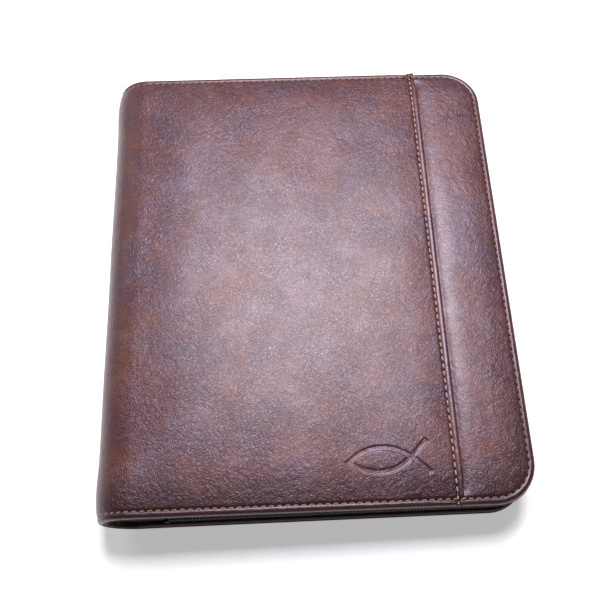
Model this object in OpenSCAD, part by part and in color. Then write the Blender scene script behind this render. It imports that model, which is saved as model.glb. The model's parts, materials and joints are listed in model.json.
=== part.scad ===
// Zip-around padded leather Bible cover, closed round the Bible that it holds.
// X runs from the spine (-X) to the zipped free edge (+X), Y up the cover, Z up from the table.

/* [Case] */
// Width of the closed case, spine to free edge
case_w = 197; // [188:1:205]
// Height of the case along the spine
case_h = 233; // [225:1:240]
// Thickness of the closed case at the spine
case_t = 35; // [34:0.5:37]
// How far the front cover slopes down to the free edge
wedge_drop = 7; // [6:0.5:8]
// Radius of the two outer corners at the free edge
corner_r = 19; // [17:0.5:22]
// Height of the stiff strip in the spine, between its two fold lines
spine_strip_h = 22; // [18:1:24]

/* [Layers] */
// Thickness of the leather
leather_t = 1.2; // [1:0.1:1.4]
// Thickness of the foam padding
padding_t = 1.6; // [1.4:0.1:1.8]
// Thickness of each stiffener board
board_t = 1; // [0.8:0.1:1.2]
// Thickness of the inner lining
lining_t = 0.4; // [0.3:0.1:0.5]

/* [Front pocket] */
// Distance of the pocket's folded edge from the free edge
fold_from_edge = 33.5; // [28:0.5:38]
// Distance of the topstitch from the folded edge
topstitch_inset = 3; // [2.5:0.5:4]

/* [Stitching] */
// Distance of the edge stitching from the rim
stitch_inset = 3; // [2.5:0.5:4]
// Distance from one stitch to the next
stitch_pitch = 3.5; // [3:0.5:5]

/* [Book] */
// Width of the leaves from spine to fore-edge
leaf_w = 156; // [146:1:158]
// Height of the leaves
leaf_h = 206; // [196:1:208]
// How far the book's covers reach past the leaves
book_square = 3; // [2:0.5:4]

/* [Zip] */
// Distance of the zip tape's outer face behind the rim
tape_inset = 2.6; // [2.4:0.1:3]
// Height of the zip's centre line above the table
zip_z = 14.5; // [14:0.1:15]
// Length of the pull tab
pull_len = 26; // [20:1:28]

/* [Hidden] */
$fn = 48;

half_w = case_w / 2;
half_h = case_h / 2;
spine_r = case_t / 2;
spine_x = spine_r - half_w;          // centre of the rounded spine
fold_z = [spine_r - spine_strip_h / 2, spine_r + spine_strip_h / 2];    // heights of the two spine folds
axis_x = spine_x - sqrt(pow(spine_r, 2) - pow(spine_strip_h / 2, 2));   // both folds, on the outer leather
tilt = asin(wedge_drop / case_w);    // slope of the closed front cover
fold_gap = 0.15;                     // the pieces of the spine end this far from a fold line
fold_x = half_w - fold_from_edge;
topstitch_x = fold_x - topstitch_inset;
gap = 0.3;                           // clearance between pieces that move apart

// Heights of the back cover's layers, from the table up
back_pad_z = leather_t;
back_board_z = back_pad_z + padding_t;
back_lining_z = back_board_z + board_t;
back_top_z = back_lining_z + lining_t;
book_cover_t = 1.2;
paper_t = 0.2;
sleeve_t = 0.4;
book_back_z = back_top_z + 0.1;
back_paper_z = book_back_z + book_cover_t;
back_sleeve_z = back_paper_z + paper_t;
block_z = back_sleeve_z + sleeve_t + 0.1;

// Heights of the front cover's layers, from the outside down, before the slope
pocket_lining_t = 0.3;
pocket_gap = 0.6;
strip_top_z = case_t - leather_t;
front_pad_top = strip_top_z - leather_t;
front_board_top = front_pad_top - padding_t;
front_lining_top = front_board_top - board_t;
front_low_z = front_lining_top - lining_t;
book_front_top = front_low_z - 0.1;
front_paper_top = book_front_top - book_cover_t;
front_sleeve_top = front_paper_top - paper_t;
flyleaf_top = front_sleeve_top - sleeve_t - gap;
flyleaf_t = 0.3;
block_top = flyleaf_top - flyleaf_t - gap;

lip = leather_t;                     // the leather turned over the rim
board_start_x = spine_x + 2;
strip_start_x = fold_x - 16;
pocket_start_x = -half_w + 30;

leaf_x = spine_x + 5;                // spine edge of the leaves
book_x0 = leaf_x - 1.4;
book_x1 = leaf_x + leaf_w + book_square;
book_half_h = leaf_h / 2 + book_square;

tape_t = 0.8;
tape_y = half_h - tape_inset;
tape_end_gap = 2.2;                  // room for the spine's strip to turn past the tapes' ends
teeth_t = 1.8;
teeth_h = 2.5;
zip_slot = 0.5;                      // half the space between the two rows of teeth
teeth_x = -half_w + 32;              // where the teeth start and end, beside the spine
slider_x = teeth_x - 7;
slider_len = 12;
slider_h = 9;
plate_t = 0.9;
outer_plate_y = tape_y + teeth_t + 0.2;
inner_plate_y = tape_y - tape_t - gap - plate_t;
pin_r = 0.5;
pin_clear = 0.06;
eye_r = 1.1;
eye_len = 3.4;
pin_y = outer_plate_y + plate_t + eye_r + 0.1;
pin_x = slider_x + 3;
ear_t = 1.2;

stitch_len = 2.5;
stitch_w = 0.7;
stitch_t = 0.35;
groove_w = 1.1;
groove_t = 0.4;
stitch_gap = 0.04;

// Slopes its children down to the free edge about the upper fold line
module on_front() {
    translate([axis_x, 0, fold_z[1]]) rotate([0, tilt, 0]) translate([-axis_x, 0, -fold_z[1]]) children();
}

// The cover's outline with its two round corners, moved in by d, from x0 to the free edge
module outline(d, x0) {
    translate([x0, d - half_h]) square([half_w - corner_r - x0, case_h - 2 * d]);
    translate([x0, corner_r - half_h]) square([half_w - d - x0, case_h - 2 * corner_r]);
    for (s = [-1, 1]) translate([half_w - corner_r, s * (half_h - corner_r)]) circle(corner_r - d);
}

// A flat layer of the cover between two heights
module layer(d, x0, z0, z1) {
    translate([0, 0, z0]) linear_extrude(z1 - z0) outline(d, x0);
}

// A band that follows the outline between two insets
module band(d0, d1, x0, z0, z1) {
    difference() {
        layer(d0, x0, z0, z1);
        layer(d1, x0 - 1, z0 - 1, z1 + 1);
    }
}

// Part of the rounded spine between two radii, and between two heights
module spine_arc(r0, r1, z0, z1, d) {
    intersection() {
        translate([spine_x, half_h - d, spine_r]) rotate([90, 0, 0]) difference() {
            cylinder(r = r1, h = case_h - 2 * d, $fn = 96);
            translate([0, 0, -1]) cylinder(r = r0, h = case_h + 2, $fn = 96);
        }
        translate([-half_w - 1, -half_h - 1, z0]) cube([half_w + 1 + spine_x, case_h + 2, z1 - z0]);
    }
}

// The spine below the lower fold
module lower_arc(r0, r1, d) {
    spine_arc(r0, r1, -1, fold_z[0] - fold_gap, d);
}

// The spine's strip between its two folds
module middle_arc(r0, r1, d) {
    spine_arc(r0, r1, fold_z[0] + fold_gap, fold_z[1] - fold_gap, d);
}

// The spine above the upper fold
module upper_arc(r0, r1, d) {
    spine_arc(r0, r1, fold_z[1] + fold_gap, case_t + 1, d);
}

// Everything to one side of a vertical cut across the cover
module keep_x(x0, x1) {
    intersection() {
        children();
        translate([x0, -half_h - 1, -1]) cube([x1 - x0, case_h + 2, case_t + 2]);
    }
}

// Room inside the case, less a clearance
module inside(d, r) {
    translate([0, half_h, 0]) rotate([90, 0, 0]) linear_extrude(case_h) {
        translate([spine_x, spine_r]) circle(r - d, $fn = 96);
        translate([spine_x, back_top_z + d]) square([case_w, front_low_z - back_top_z - 2 * d]);
    }
}

// One stitch lying along angle a
module stitch(x, y, a, z) {
    translate([x, y, z]) rotate([0, 0, a])
        translate([-stitch_len / 2, -stitch_w / 2, 0]) cube([stitch_len, stitch_w, stitch_t]);
}

// Edge stitches round the head, free edge and foot, at height z up to x_split and z_low beyond it
module edge_stitches(z, z_low, x_split) {
    r = corner_r - stitch_inset;
    run = half_w - corner_r - spine_x - stitch_pitch;
    n = floor(run / stitch_pitch);
    side = case_h - 2 * corner_r;
    m = floor(side / stitch_pitch);
    k = floor(r * PI / 2 / stitch_pitch);
    for (s = [-1, 1]) {
        for (i = [0 : n - 1]) {
            x = spine_x + stitch_pitch + i * stitch_pitch;
            if (abs(x - x_split) > stitch_len) stitch(x, s * (half_h - stitch_inset), 0, x < x_split ? z : z_low);
        }
        for (i = [0 : k - 1]) {
            a = 90 * (i + 0.5) / k;
            translate([half_w - corner_r, s * (half_h - corner_r), 0])
                stitch(r * sin(a), s * r * cos(a), -s * a, z_low);
        }
    }
    for (i = [0 : m - 1])
        stitch(half_w - stitch_inset, (i + 0.5) * side / m - side / 2, 90, z_low);
}

// The seam groove that the edge stitches lie in
module seam_groove(z0, z1) {
    band(stitch_inset - groove_w / 2, stitch_inset + groove_w / 2, spine_x + 1, z0, z1);
}

// The pressed fish outline: two arcs that cross at the tail
module fish_outline() {
    fish_x = 28.3;
    fish_y = -95.6;
    fish_turn = 3;
    arc_r = 21.7;
    arc_off = 15.2;
    line = 2.4;
    tail_x = 14.5;
    tail_len = 10.5;
    tail_turn = 45;
    translate([fish_x, fish_y]) rotate(fish_turn) {
        difference() {
            intersection_for(s = [-1, 1]) translate([0, s * arc_off]) circle(arc_r, $fn = 96);
            intersection_for(s = [-1, 1]) translate([0, s * arc_off]) circle(arc_r - line, $fn = 96);
        }
        for (s = [-1, 1])
            translate([tail_x, 0]) rotate(s * tail_turn) translate([-line / 2, -line / 2]) square([tail_len, line]);
    }
}

// The outer leather over the spine's strip
module spine_leather() {
    color([0.32, 0.17, 0.12]) middle_arc(spine_r - leather_t, spine_r, 0);
}

module spine_padding() {
    color([0.75, 0.72, 0.66]) middle_arc(spine_r - back_board_z, spine_r - leather_t, lip);
}

module spine_strip() {
    color([0.55, 0.50, 0.42]) middle_arc(spine_r - back_lining_z, spine_r - back_board_z, lip);
}

module spine_lining() {
    color([0.32, 0.24, 0.20]) middle_arc(spine_r - back_top_z, spine_r - back_lining_z, lip);
}

// Back part of the outer leather, with the turned rim and the spine up to the lower fold
module outer_wrap_back() {
    color([0.30, 0.16, 0.12]) {
        difference() {
            union() {
                layer(0, spine_x, 0, leather_t);
                band(0, lip, spine_x, 0, back_top_z);
            }
            seam_groove(-1, groove_t);
        }
        lower_arc(spine_r - leather_t, spine_r, 0);
    }
}

module back_padding() {
    color([0.75, 0.72, 0.66]) {
        layer(lip, spine_x, back_pad_z, back_board_z);
        lower_arc(spine_r - back_lining_z, spine_r - leather_t, lip);
    }
}

module back_board() {
    color([0.55, 0.50, 0.42]) layer(lip, board_start_x, back_board_z, back_lining_z);
}

module back_lining() {
    color([0.32, 0.24, 0.20]) {
        layer(lip, spine_x, back_lining_z, back_top_z);
        lower_arc(spine_r - back_top_z, spine_r - back_lining_z, lip);
    }
}

// The sleeve that the book's back cover slips into, open towards the spine
module back_sleeve() {
    color([0.30, 0.22, 0.18]) book_sleeve(back_sleeve_z, back_top_z);
}

// A flap over the free-edge part of a book cover, with the strips that join it to the lining
module book_sleeve(z_flap, z_lining) {
    x0 = 30;
    edge = 0.8;
    y = book_half_h + edge + 0.1;
    z_far = z_flap > z_lining ? z_lining : z_flap + sleeve_t;
    h = z_flap > z_lining ? z_flap - z_lining : z_lining - z_far;
    translate([x0, -y, z_flap]) cube([book_x1 + edge + 0.1 - x0, 2 * y, sleeve_t]);
    for (s = [-1, 1]) translate([x0, s * (y - edge / 2) - edge / 2, z_far]) cube([book_x1 + edge - x0, edge, h]);
    translate([book_x1 + 0.1, -y, z_far]) cube([edge, 2 * y, h]);
}

module back_edge_stitching() {
    color([0.80, 0.68, 0.50]) edge_stitches(stitch_gap, stitch_gap, case_w);
}

// One stretch of the lower half of the zip's wall, between two X and two Y cuts
module back_tape(x0, x1, y0, y1) {
    color([0.16, 0.10, 0.12]) intersection() {
        band(tape_inset, tape_inset + tape_t, -half_w, back_top_z, zip_z - zip_slot);
        inside(0, spine_r - back_top_z - tape_end_gap);
        translate([x0, y0, 0]) cube([x1 - x0, y1 - y0, case_t]);
    }
}

// The run along the head or the foot, closed into the rounded spine
module back_tape_run(y0) {
    back_tape(-half_w, half_w - corner_r, y0, y0 + corner_r);
}

// The bend round one corner
module back_tape_corner(y0) {
    back_tape(half_w - corner_r, half_w, y0, y0 + corner_r);
}

module back_tape_foot() {
    back_tape_run(-half_h);
}

module back_tape_head() {
    back_tape_run(half_h - corner_r);
}

module back_tape_foot_corner() {
    back_tape_corner(-half_h);
}

module back_tape_head_corner() {
    back_tape_corner(half_h - corner_r);
}

// The run along the free edge
module back_tape_side() {
    back_tape(0, half_w, corner_r - half_h, half_h - corner_r);
}

module back_zip_teeth() {
    color([0.30, 0.28, 0.28])
        band(tape_inset - teeth_t, tape_inset, teeth_x, zip_z - zip_slot - teeth_h, zip_z - zip_slot);
}

// The bar that joins the two tapes' ends below the first teeth
module zip_start_stop() {
    color([0.45, 0.40, 0.34])
        translate([teeth_x - 2.2, -tape_y - teeth_t, zip_z - zip_slot - teeth_h]) cube([2, teeth_t, teeth_h]);
}

// The small stop past the last teeth, where the closed slider rests
module zip_end_stop() {
    color([0.45, 0.40, 0.34])
        translate([slider_x - slider_len / 2 - 2.3, tape_y, zip_z - zip_slot - teeth_h]) cube([2, teeth_t, teeth_h]);
}

module book_back_cover() {
    color([0.10, 0.09, 0.09])
        translate([book_x0, -book_half_h, book_back_z]) cube([book_x1 - book_x0, 2 * book_half_h, book_cover_t]);
}

// The book's leather spine, glued to the leaves
module book_spine() {
    color([0.10, 0.09, 0.09]) difference() {
        translate([book_x0, -book_half_h, back_paper_z]) cube([1.2, 2 * book_half_h, case_t]);
        above_block(-0.8);
    }
}

module back_endpaper() {
    color([0.90, 0.87, 0.78])
        translate([leaf_x, -leaf_h / 2, back_paper_z]) cube([leaf_w, leaf_h, paper_t]);
}

// Everything above the sloping top of the leaves
module above_block(d) {
    on_front() translate([-case_w, -case_h, block_top + d]) cube([2 * case_w, 2 * case_h, case_t]);
}

module page_block() {
    color([0.93, 0.89, 0.78]) difference() {
        translate([leaf_x, -leaf_h / 2, block_z]) cube([leaf_w, leaf_h, case_t]);
        above_block(0);
    }
}

// The woven bands at the head and tail of the spine
module headbands() {
    color([0.75, 0.62, 0.25]) for (s = [-1, 1]) difference() {
        translate([leaf_x + 0.2, s * (leaf_h / 2 + 0.75) - 0.75, block_z + 0.2]) cube([1.6, 1.5, case_t]);
        above_block(-0.5);
    }
}

// Front part of the outer leather: the main panel with its folded edge, and the spine above the upper fold
module outer_wrap_front() {
    color([0.36, 0.19, 0.14]) on_front() {
        difference() {
            keep_x(spine_x, fold_x) union() {
                layer(0, spine_x, case_t - leather_t, case_t);
                band(0, lip, spine_x, front_low_z, case_t);
            }
            seam_groove(case_t - groove_t, case_t + 1);
            translate([topstitch_x - groove_w / 2, -half_h - 1, case_t - groove_t]) cube([groove_w, case_h + 2, 1]);
            translate([0, 0, case_t - groove_t]) linear_extrude(1) fish_outline();
        }
        upper_arc(spine_r - leather_t, spine_r, 0);
    }
}

// The leather strip beyond the fold, which runs on under the main panel
module pocket_strip_panel() {
    color([0.34, 0.18, 0.13]) on_front() difference() {
        union() {
            layer(lip, strip_start_x, front_pad_top, strip_top_z);
            keep_x(fold_x, half_w) union() {
                layer(0, fold_x, front_pad_top, strip_top_z);
                band(0, lip, fold_x - 1, front_low_z, strip_top_z);
            }
        }
        seam_groove(strip_top_z - groove_t, strip_top_z + 1);
    }
}

module pocket_front_lining() {
    color([0.22, 0.16, 0.14]) on_front() keep_x(pocket_start_x, strip_start_x - gap)
        layer(lip + 4, pocket_start_x, strip_top_z - pocket_lining_t, strip_top_z);
}

module pocket_back_lining() {
    color([0.22, 0.16, 0.14]) on_front() keep_x(pocket_start_x, strip_start_x - gap)
        layer(lip + 4, pocket_start_x, front_pad_top, front_pad_top + pocket_lining_t);
}

module front_padding() {
    color([0.75, 0.72, 0.66]) on_front() {
        layer(lip, spine_x, front_board_top, front_pad_top);
        upper_arc(front_lining_top - spine_r, spine_r - leather_t, lip);
    }
}

module front_board() {
    color([0.55, 0.50, 0.42]) on_front() layer(lip, board_start_x, front_lining_top, front_board_top);
}

module front_lining() {
    color([0.32, 0.24, 0.20]) on_front() {
        layer(lip, spine_x, front_low_z, front_lining_top);
        upper_arc(front_low_z - spine_r, front_lining_top - spine_r, lip);
    }
}

module front_sleeve() {
    color([0.30, 0.22, 0.18]) on_front() book_sleeve(front_sleeve_top - sleeve_t, front_low_z);
}

module front_edge_stitching() {
    color([0.80, 0.68, 0.50]) on_front()
        edge_stitches(case_t - stitch_gap - stitch_t, strip_top_z - stitch_gap - stitch_t, fold_x);
}

// The row of stitches beside the fold, ending short of the edge stitching
module fold_topstitching() {
    color([0.80, 0.68, 0.50]) on_front() {
        run = case_h - 2 * stitch_inset - 2 * stitch_pitch;
        n = floor(run / stitch_pitch);
        for (i = [0 : n - 1])
            stitch(topstitch_x, (i + 0.5) * run / n - run / 2, 90, case_t - stitch_gap - stitch_t);
    }
}

// The upper half of the zip's wall, under the sloping front cover
module front_zip_tape() {
    color([0.16, 0.10, 0.12]) difference() {
        on_front() intersection() {
            band(tape_inset, tape_inset + tape_t, -half_w, back_top_z, front_low_z);
            inside(0, spine_r - back_top_z - tape_end_gap);
        }
        translate([-case_w, -case_h, -case_t]) cube([2 * case_w, 2 * case_h, zip_z + zip_slot + case_t]);
    }
}

module front_zip_teeth() {
    color([0.30, 0.28, 0.28])
        band(tape_inset - teeth_t, tape_inset, teeth_x, zip_z + zip_slot, zip_z + zip_slot + teeth_h);
}

module book_front_cover() {
    color([0.10, 0.09, 0.09]) on_front()
        translate([book_x0, -book_half_h, book_front_top - book_cover_t])
            cube([book_x1 - book_x0, 2 * book_half_h, book_cover_t]);
}

module front_endpaper() {
    color([0.90, 0.87, 0.78]) on_front()
        translate([leaf_x, -leaf_h / 2, front_paper_top - paper_t]) cube([leaf_w, leaf_h, paper_t]);
}

// The first leaf, which turns with the front cover
module flyleaf() {
    color([0.95, 0.92, 0.84]) on_front()
        translate([leaf_x + 1, -leaf_h / 2, flyleaf_top - flyleaf_t]) cube([leaf_w - 2, leaf_h, flyleaf_t]);
}

// The slider: two plates either side of the teeth, the wedge between them and the pin's ears
module slider_body() {
    z0 = zip_z - slider_h / 2;
    color([0.50, 0.44, 0.34]) difference() {
        union() {
            translate([slider_x - slider_len / 2, outer_plate_y, z0]) cube([slider_len, plate_t, slider_h]);
            translate([slider_x - slider_len / 2, inner_plate_y, z0]) cube([slider_len, plate_t, slider_h]);
            translate([slider_x - slider_len / 2, inner_plate_y, zip_z - 0.3])
                cube([4, outer_plate_y - inner_plate_y + plate_t, 0.6]);
            translate([slider_x - slider_len / 2, tape_y + 0.4, z0]) cube([slider_len, outer_plate_y - tape_y, 0.8]);
            for (s = [-1, 1])
                translate([pin_x - 1.1, outer_plate_y + plate_t - 0.1, zip_z + s * (eye_len / 2 + 0.2 + ear_t / 2) - ear_t / 2])
                    cube([2.2, eye_r * 2 + 0.2, ear_t]);
        }
        translate([pin_x, pin_y, zip_z - slider_h]) cylinder(r = pin_r, h = 2 * slider_h);
    }
}

module pull_pin() {
    len = eye_len + 0.4 + 2 * ear_t;
    color([0.50, 0.44, 0.34]) translate([pin_x, pin_y, zip_z - len / 2]) cylinder(r = pin_r, h = len);
}

// The pull: a flat tapered tab with an eye round the pin
module pull_tab() {
    tab_t = 1;
    tab_w = 7;
    neck = 3;
    color([0.55, 0.48, 0.36]) difference() {
        union() {
            translate([pin_x, pin_y, zip_z - eye_len / 2]) cylinder(r = eye_r, h = eye_len);
            translate([pin_x, pin_y - tab_t / 2, zip_z - eye_len / 2]) cube([neck + 1, tab_t, eye_len]);
            translate([pin_x + neck, pin_y + tab_t / 2, zip_z]) rotate([90, 0, 0]) linear_extrude(tab_t)
                polygon([[0, -eye_len / 2], [8, -tab_w / 2], [pull_len - neck - 2, -tab_w / 2],
                         [pull_len - neck, 1.5 - tab_w / 2], [pull_len - neck, tab_w / 2 - 1.5],
                         [pull_len - neck - 2, tab_w / 2], [8, tab_w / 2], [0, eye_len / 2]]);
        }
        translate([pin_x, pin_y, zip_z - eye_len]) cylinder(r = pin_r + pin_clear, h = 2 * eye_len);
    }
}

spine_leather();
spine_padding();
spine_strip();
spine_lining();
outer_wrap_back();
back_padding();
back_board();
back_lining();
back_sleeve();
back_edge_stitching();
back_tape_foot();
back_tape_foot_corner();
back_tape_side();
back_tape_head_corner();
back_tape_head();
back_zip_teeth();
zip_start_stop();
zip_end_stop();
book_back_cover();
book_spine();
back_endpaper();
page_block();
headbands();
outer_wrap_front();
pocket_strip_panel();
pocket_front_lining();
pocket_back_lining();
front_padding();
front_board();
front_lining();
front_sleeve();
front_edge_stitching();
fold_topstitching();
front_zip_tape();
front_zip_teeth();
book_front_cover();
front_endpaper();
flyleaf();
slider_body();
pull_pin();
pull_tab();
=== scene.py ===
"""A zip-around padded leather cover, closed round the Bible that it holds."""

import json
import logging
import math
from dataclasses import dataclass
from enum import Enum

import bpy
import numpy as np
from mathutils import Matrix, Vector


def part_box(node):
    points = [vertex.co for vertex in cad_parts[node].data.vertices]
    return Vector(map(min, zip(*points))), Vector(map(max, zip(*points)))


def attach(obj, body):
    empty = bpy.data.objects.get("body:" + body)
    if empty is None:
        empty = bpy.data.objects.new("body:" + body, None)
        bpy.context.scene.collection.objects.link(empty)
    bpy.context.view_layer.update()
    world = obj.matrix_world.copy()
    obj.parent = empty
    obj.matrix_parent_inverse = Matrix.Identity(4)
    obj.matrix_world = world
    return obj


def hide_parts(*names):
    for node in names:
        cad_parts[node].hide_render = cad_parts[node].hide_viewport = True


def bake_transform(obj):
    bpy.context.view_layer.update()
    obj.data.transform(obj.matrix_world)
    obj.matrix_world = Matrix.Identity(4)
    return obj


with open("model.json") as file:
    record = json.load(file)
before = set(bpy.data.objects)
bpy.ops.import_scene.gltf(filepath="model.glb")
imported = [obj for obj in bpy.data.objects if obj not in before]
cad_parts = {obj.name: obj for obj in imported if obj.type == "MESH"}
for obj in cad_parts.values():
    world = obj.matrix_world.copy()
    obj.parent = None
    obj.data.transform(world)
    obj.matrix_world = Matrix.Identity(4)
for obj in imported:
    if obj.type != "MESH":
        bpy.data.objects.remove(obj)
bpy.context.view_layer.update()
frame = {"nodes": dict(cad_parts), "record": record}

MM = 0.001
LOG = logging.getLogger("bible_cover")
Piece = bpy.types.Object
Array = np.ndarray


# ---------------------------------------------------------------- meshes


def piece_from(name: str, points: Array, faces: list, lie: Array | None = None) -> Piece:
    """Makes a smooth mesh object that remembers where each point lay on the cut material.

    Args:
        name: the piece's name.
        points: n by 3 positions in metres.
        faces: lists of point numbers.
        lie: n by 3 places on the flat material, in millimetres; the positions where None.

    Returns:
        The new object, linked to the scene.
    """
    points = np.asarray(points, float)
    mesh = bpy.data.meshes.new(name)
    mesh.from_pydata(points.tolist(), [], [list(map(int, face)) for face in faces])
    mesh.update()
    mesh.polygons.foreach_set("use_smooth", np.ones(len(mesh.polygons), bool))
    places = points / MM if lie is None else np.asarray(lie, float)
    mesh.attributes.new("lie", "FLOAT_VECTOR", "POINT").data.foreach_set("vector", places.ravel())
    made = bpy.data.objects.new(name, mesh)
    bpy.context.scene.collection.objects.link(made)
    return made


def grid_faces(rows: int, columns: int, flip: bool = False, closed: bool = False) -> list:
    """Quads of a grid whose points are stored row by row.

    Args:
        rows: number of rows of points.
        columns: number of points in a row.
        flip: turns the faces over.
        closed: joins each row's last point to its first.

    Returns:
        The faces, as lists of four point numbers.
    """
    faces = []
    for i in range(rows - 1):
        for j in range(columns if closed else columns - 1):
            k = (j + 1) % columns
            quad = [i * columns + j, i * columns + k, (i + 1) * columns + k, (i + 1) * columns + j]
            faces.append(quad[::-1] if flip else quad)
    return faces


def press(piece: Piece, share: Array, painted_shade: Array | None = None) -> None:
    """Records how far the leather is pressed flat, and how far painted shade darkens it, at each point.

    Args:
        piece: the piece.
        share: how far its grain is pressed flat, from 0 to 1.
        painted_shade: how far painted shade darkens it, from 0 to 1; nowhere when None.
    """
    flattened = np.clip(np.asarray(share, float).ravel(), 0, 1)
    darkened = np.zeros(len(flattened))
    if painted_shade is not None:
        darkened = np.clip(np.asarray(painted_shade, float).ravel(), 0, 1)
    for name, values in (("pressed", flattened), ("painted_shade", darkened)):
        piece.data.attributes.new(name, "FLOAT", "POINT").data.foreach_set("value", values)


def painted_shade_at(inset: Array, y: Array) -> Array:
    """How far painted shade darkens the leather near the rim, more so towards the foot, away from the key
    light.

    Args:
        inset: distances from the rim.
        y: Y positions.

    Returns:
        The shares, from 0 to 1.
    """
    foot = 0.25 + 0.75 * smoothstep(-np.asarray(y), 40 * MM, 98 * MM)
    return foot * (1 - smoothstep(inset, 5 * MM, 24 * MM))


def smoothstep(value: Array, low: float, high: float) -> Array:
    """Rises smoothly from 0 at low to 1 at high.

    Args:
        value: one value or many.
        low: where the rise starts.
        high: where it ends.

    Returns:
        The shares.
    """
    t = np.clip((np.asarray(value, float) - low) / (high - low), 0.0, 1.0)
    return t * t * (3.0 - 2.0 * t)


def spread(stops: list, steps: list) -> Array:
    """Positions that run through the stops, each stretch cut in steps of its own size.

    Args:
        stops: rising positions.
        steps: the largest step in each stretch between two stops.

    Returns:
        The positions, with both ends.
    """
    runs = [np.linspace(a, b, max(2, math.ceil((b - a) / step) + 1))[:-1]
            for a, b, step in zip(stops[:-1], stops[1:], steps)]
    return np.concatenate(runs + [np.array([stops[-1]])])


def copies(name: str, shape: tuple, centres: Array, along: Array, up: Array,
           lie_step: float = 1.0) -> Piece:
    """Repeats one small shape at many places, as one piece.

    Args:
        name: the piece's name.
        shape: the points and faces of the shape; its X runs along and its Z up.
        centres: n by 3 places.
        along: n by 3 unit directions.
        up: n by 3 unit directions.
        lie_step: how far each copy's pattern is moved from the last one's, in millimetres.

    Returns:
        The new object.
    """
    points, faces = shape
    count = len(points)
    side = np.cross(up, along)
    blocks = (centres[:, None, :] + points[None, :, :1] * along[:, None, :]
              + points[None, :, 1:2] * side[:, None, :] + points[None, :, 2:] * up[:, None, :])
    lie = np.broadcast_to(points / MM, blocks.shape).copy()
    lie[:, :, 1] += lie_step * np.arange(len(centres))[:, None]
    every = [[number + k * count for number in face] for k in range(len(centres)) for face in faces]
    return piece_from(name, blocks.reshape(-1, 3), every, lie.reshape(-1, 3))


def capsule(length: float, width: float, height: float, bow: float = 0.0, around: int = 8) -> tuple:
    """A rounded bar along X, such as one stitch or one tooth.

    Args:
        length: its length.
        width: its size along Y.
        height: its size along Z.
        bow: how far its middle stands above its ends.
        around: points round the bar.

    Returns:
        Its points and faces.
    """
    turns = np.linspace(0.0, 2 * math.pi, around, endpoint=False)
    rings = []
    for t in (-1.0, -0.93, -0.72, -0.3, 0.3, 0.72, 0.93, 1.0):
        girth = max(0.12, (1.0 - abs(t) ** 3.5) ** 0.5)
        ring = np.stack([np.full(around, t * length / 2), girth * width / 2 * np.cos(turns),
                         girth * height / 2 * np.sin(turns) + bow * (1.0 - t * t)], 1)
        rings.append(ring)
    faces = grid_faces(len(rings), around, closed=True)
    last = (len(rings) - 1) * around
    faces.append(list(range(around)))
    faces.append([last + k for k in reversed(range(around))])
    return np.concatenate(rings), faces


def tube_along(name: str, path: Array, side: Array, up: Array, wide: float, high: float) -> Piece:
    """A thin round strip that follows a path.

    Args:
        name: the piece's name.
        path: n by 3 centres.
        side: n by 3 unit directions of its width.
        up: n by 3 unit directions of its height.
        wide: half its width.
        high: half its height.

    Returns:
        The new object.
    """
    turns = np.linspace(0.0, 2 * math.pi, 8, endpoint=False)
    rings = (path[:, None, :] + wide * np.cos(turns)[None, :, None] * side[:, None, :]
             + high * np.sin(turns)[None, :, None] * up[:, None, :])
    faces = grid_faces(len(path), len(turns), closed=True)
    last = (len(path) - 1) * len(turns)
    faces.append(list(range(len(turns)))[::-1])
    faces.append([last + k for k in range(len(turns))])
    run = np.concatenate([[0.0], np.cumsum(np.linalg.norm(np.diff(path, axis=0), axis=1))]) / MM
    lie = np.stack(np.broadcast_arrays(run[:, None], turns[None, :] * wide / MM, 0.0), -1)
    return piece_from(name, rings.reshape(-1, 3), faces, lie.reshape(-1, 3))


# ---------------------------------------------------------------- sizes


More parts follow.
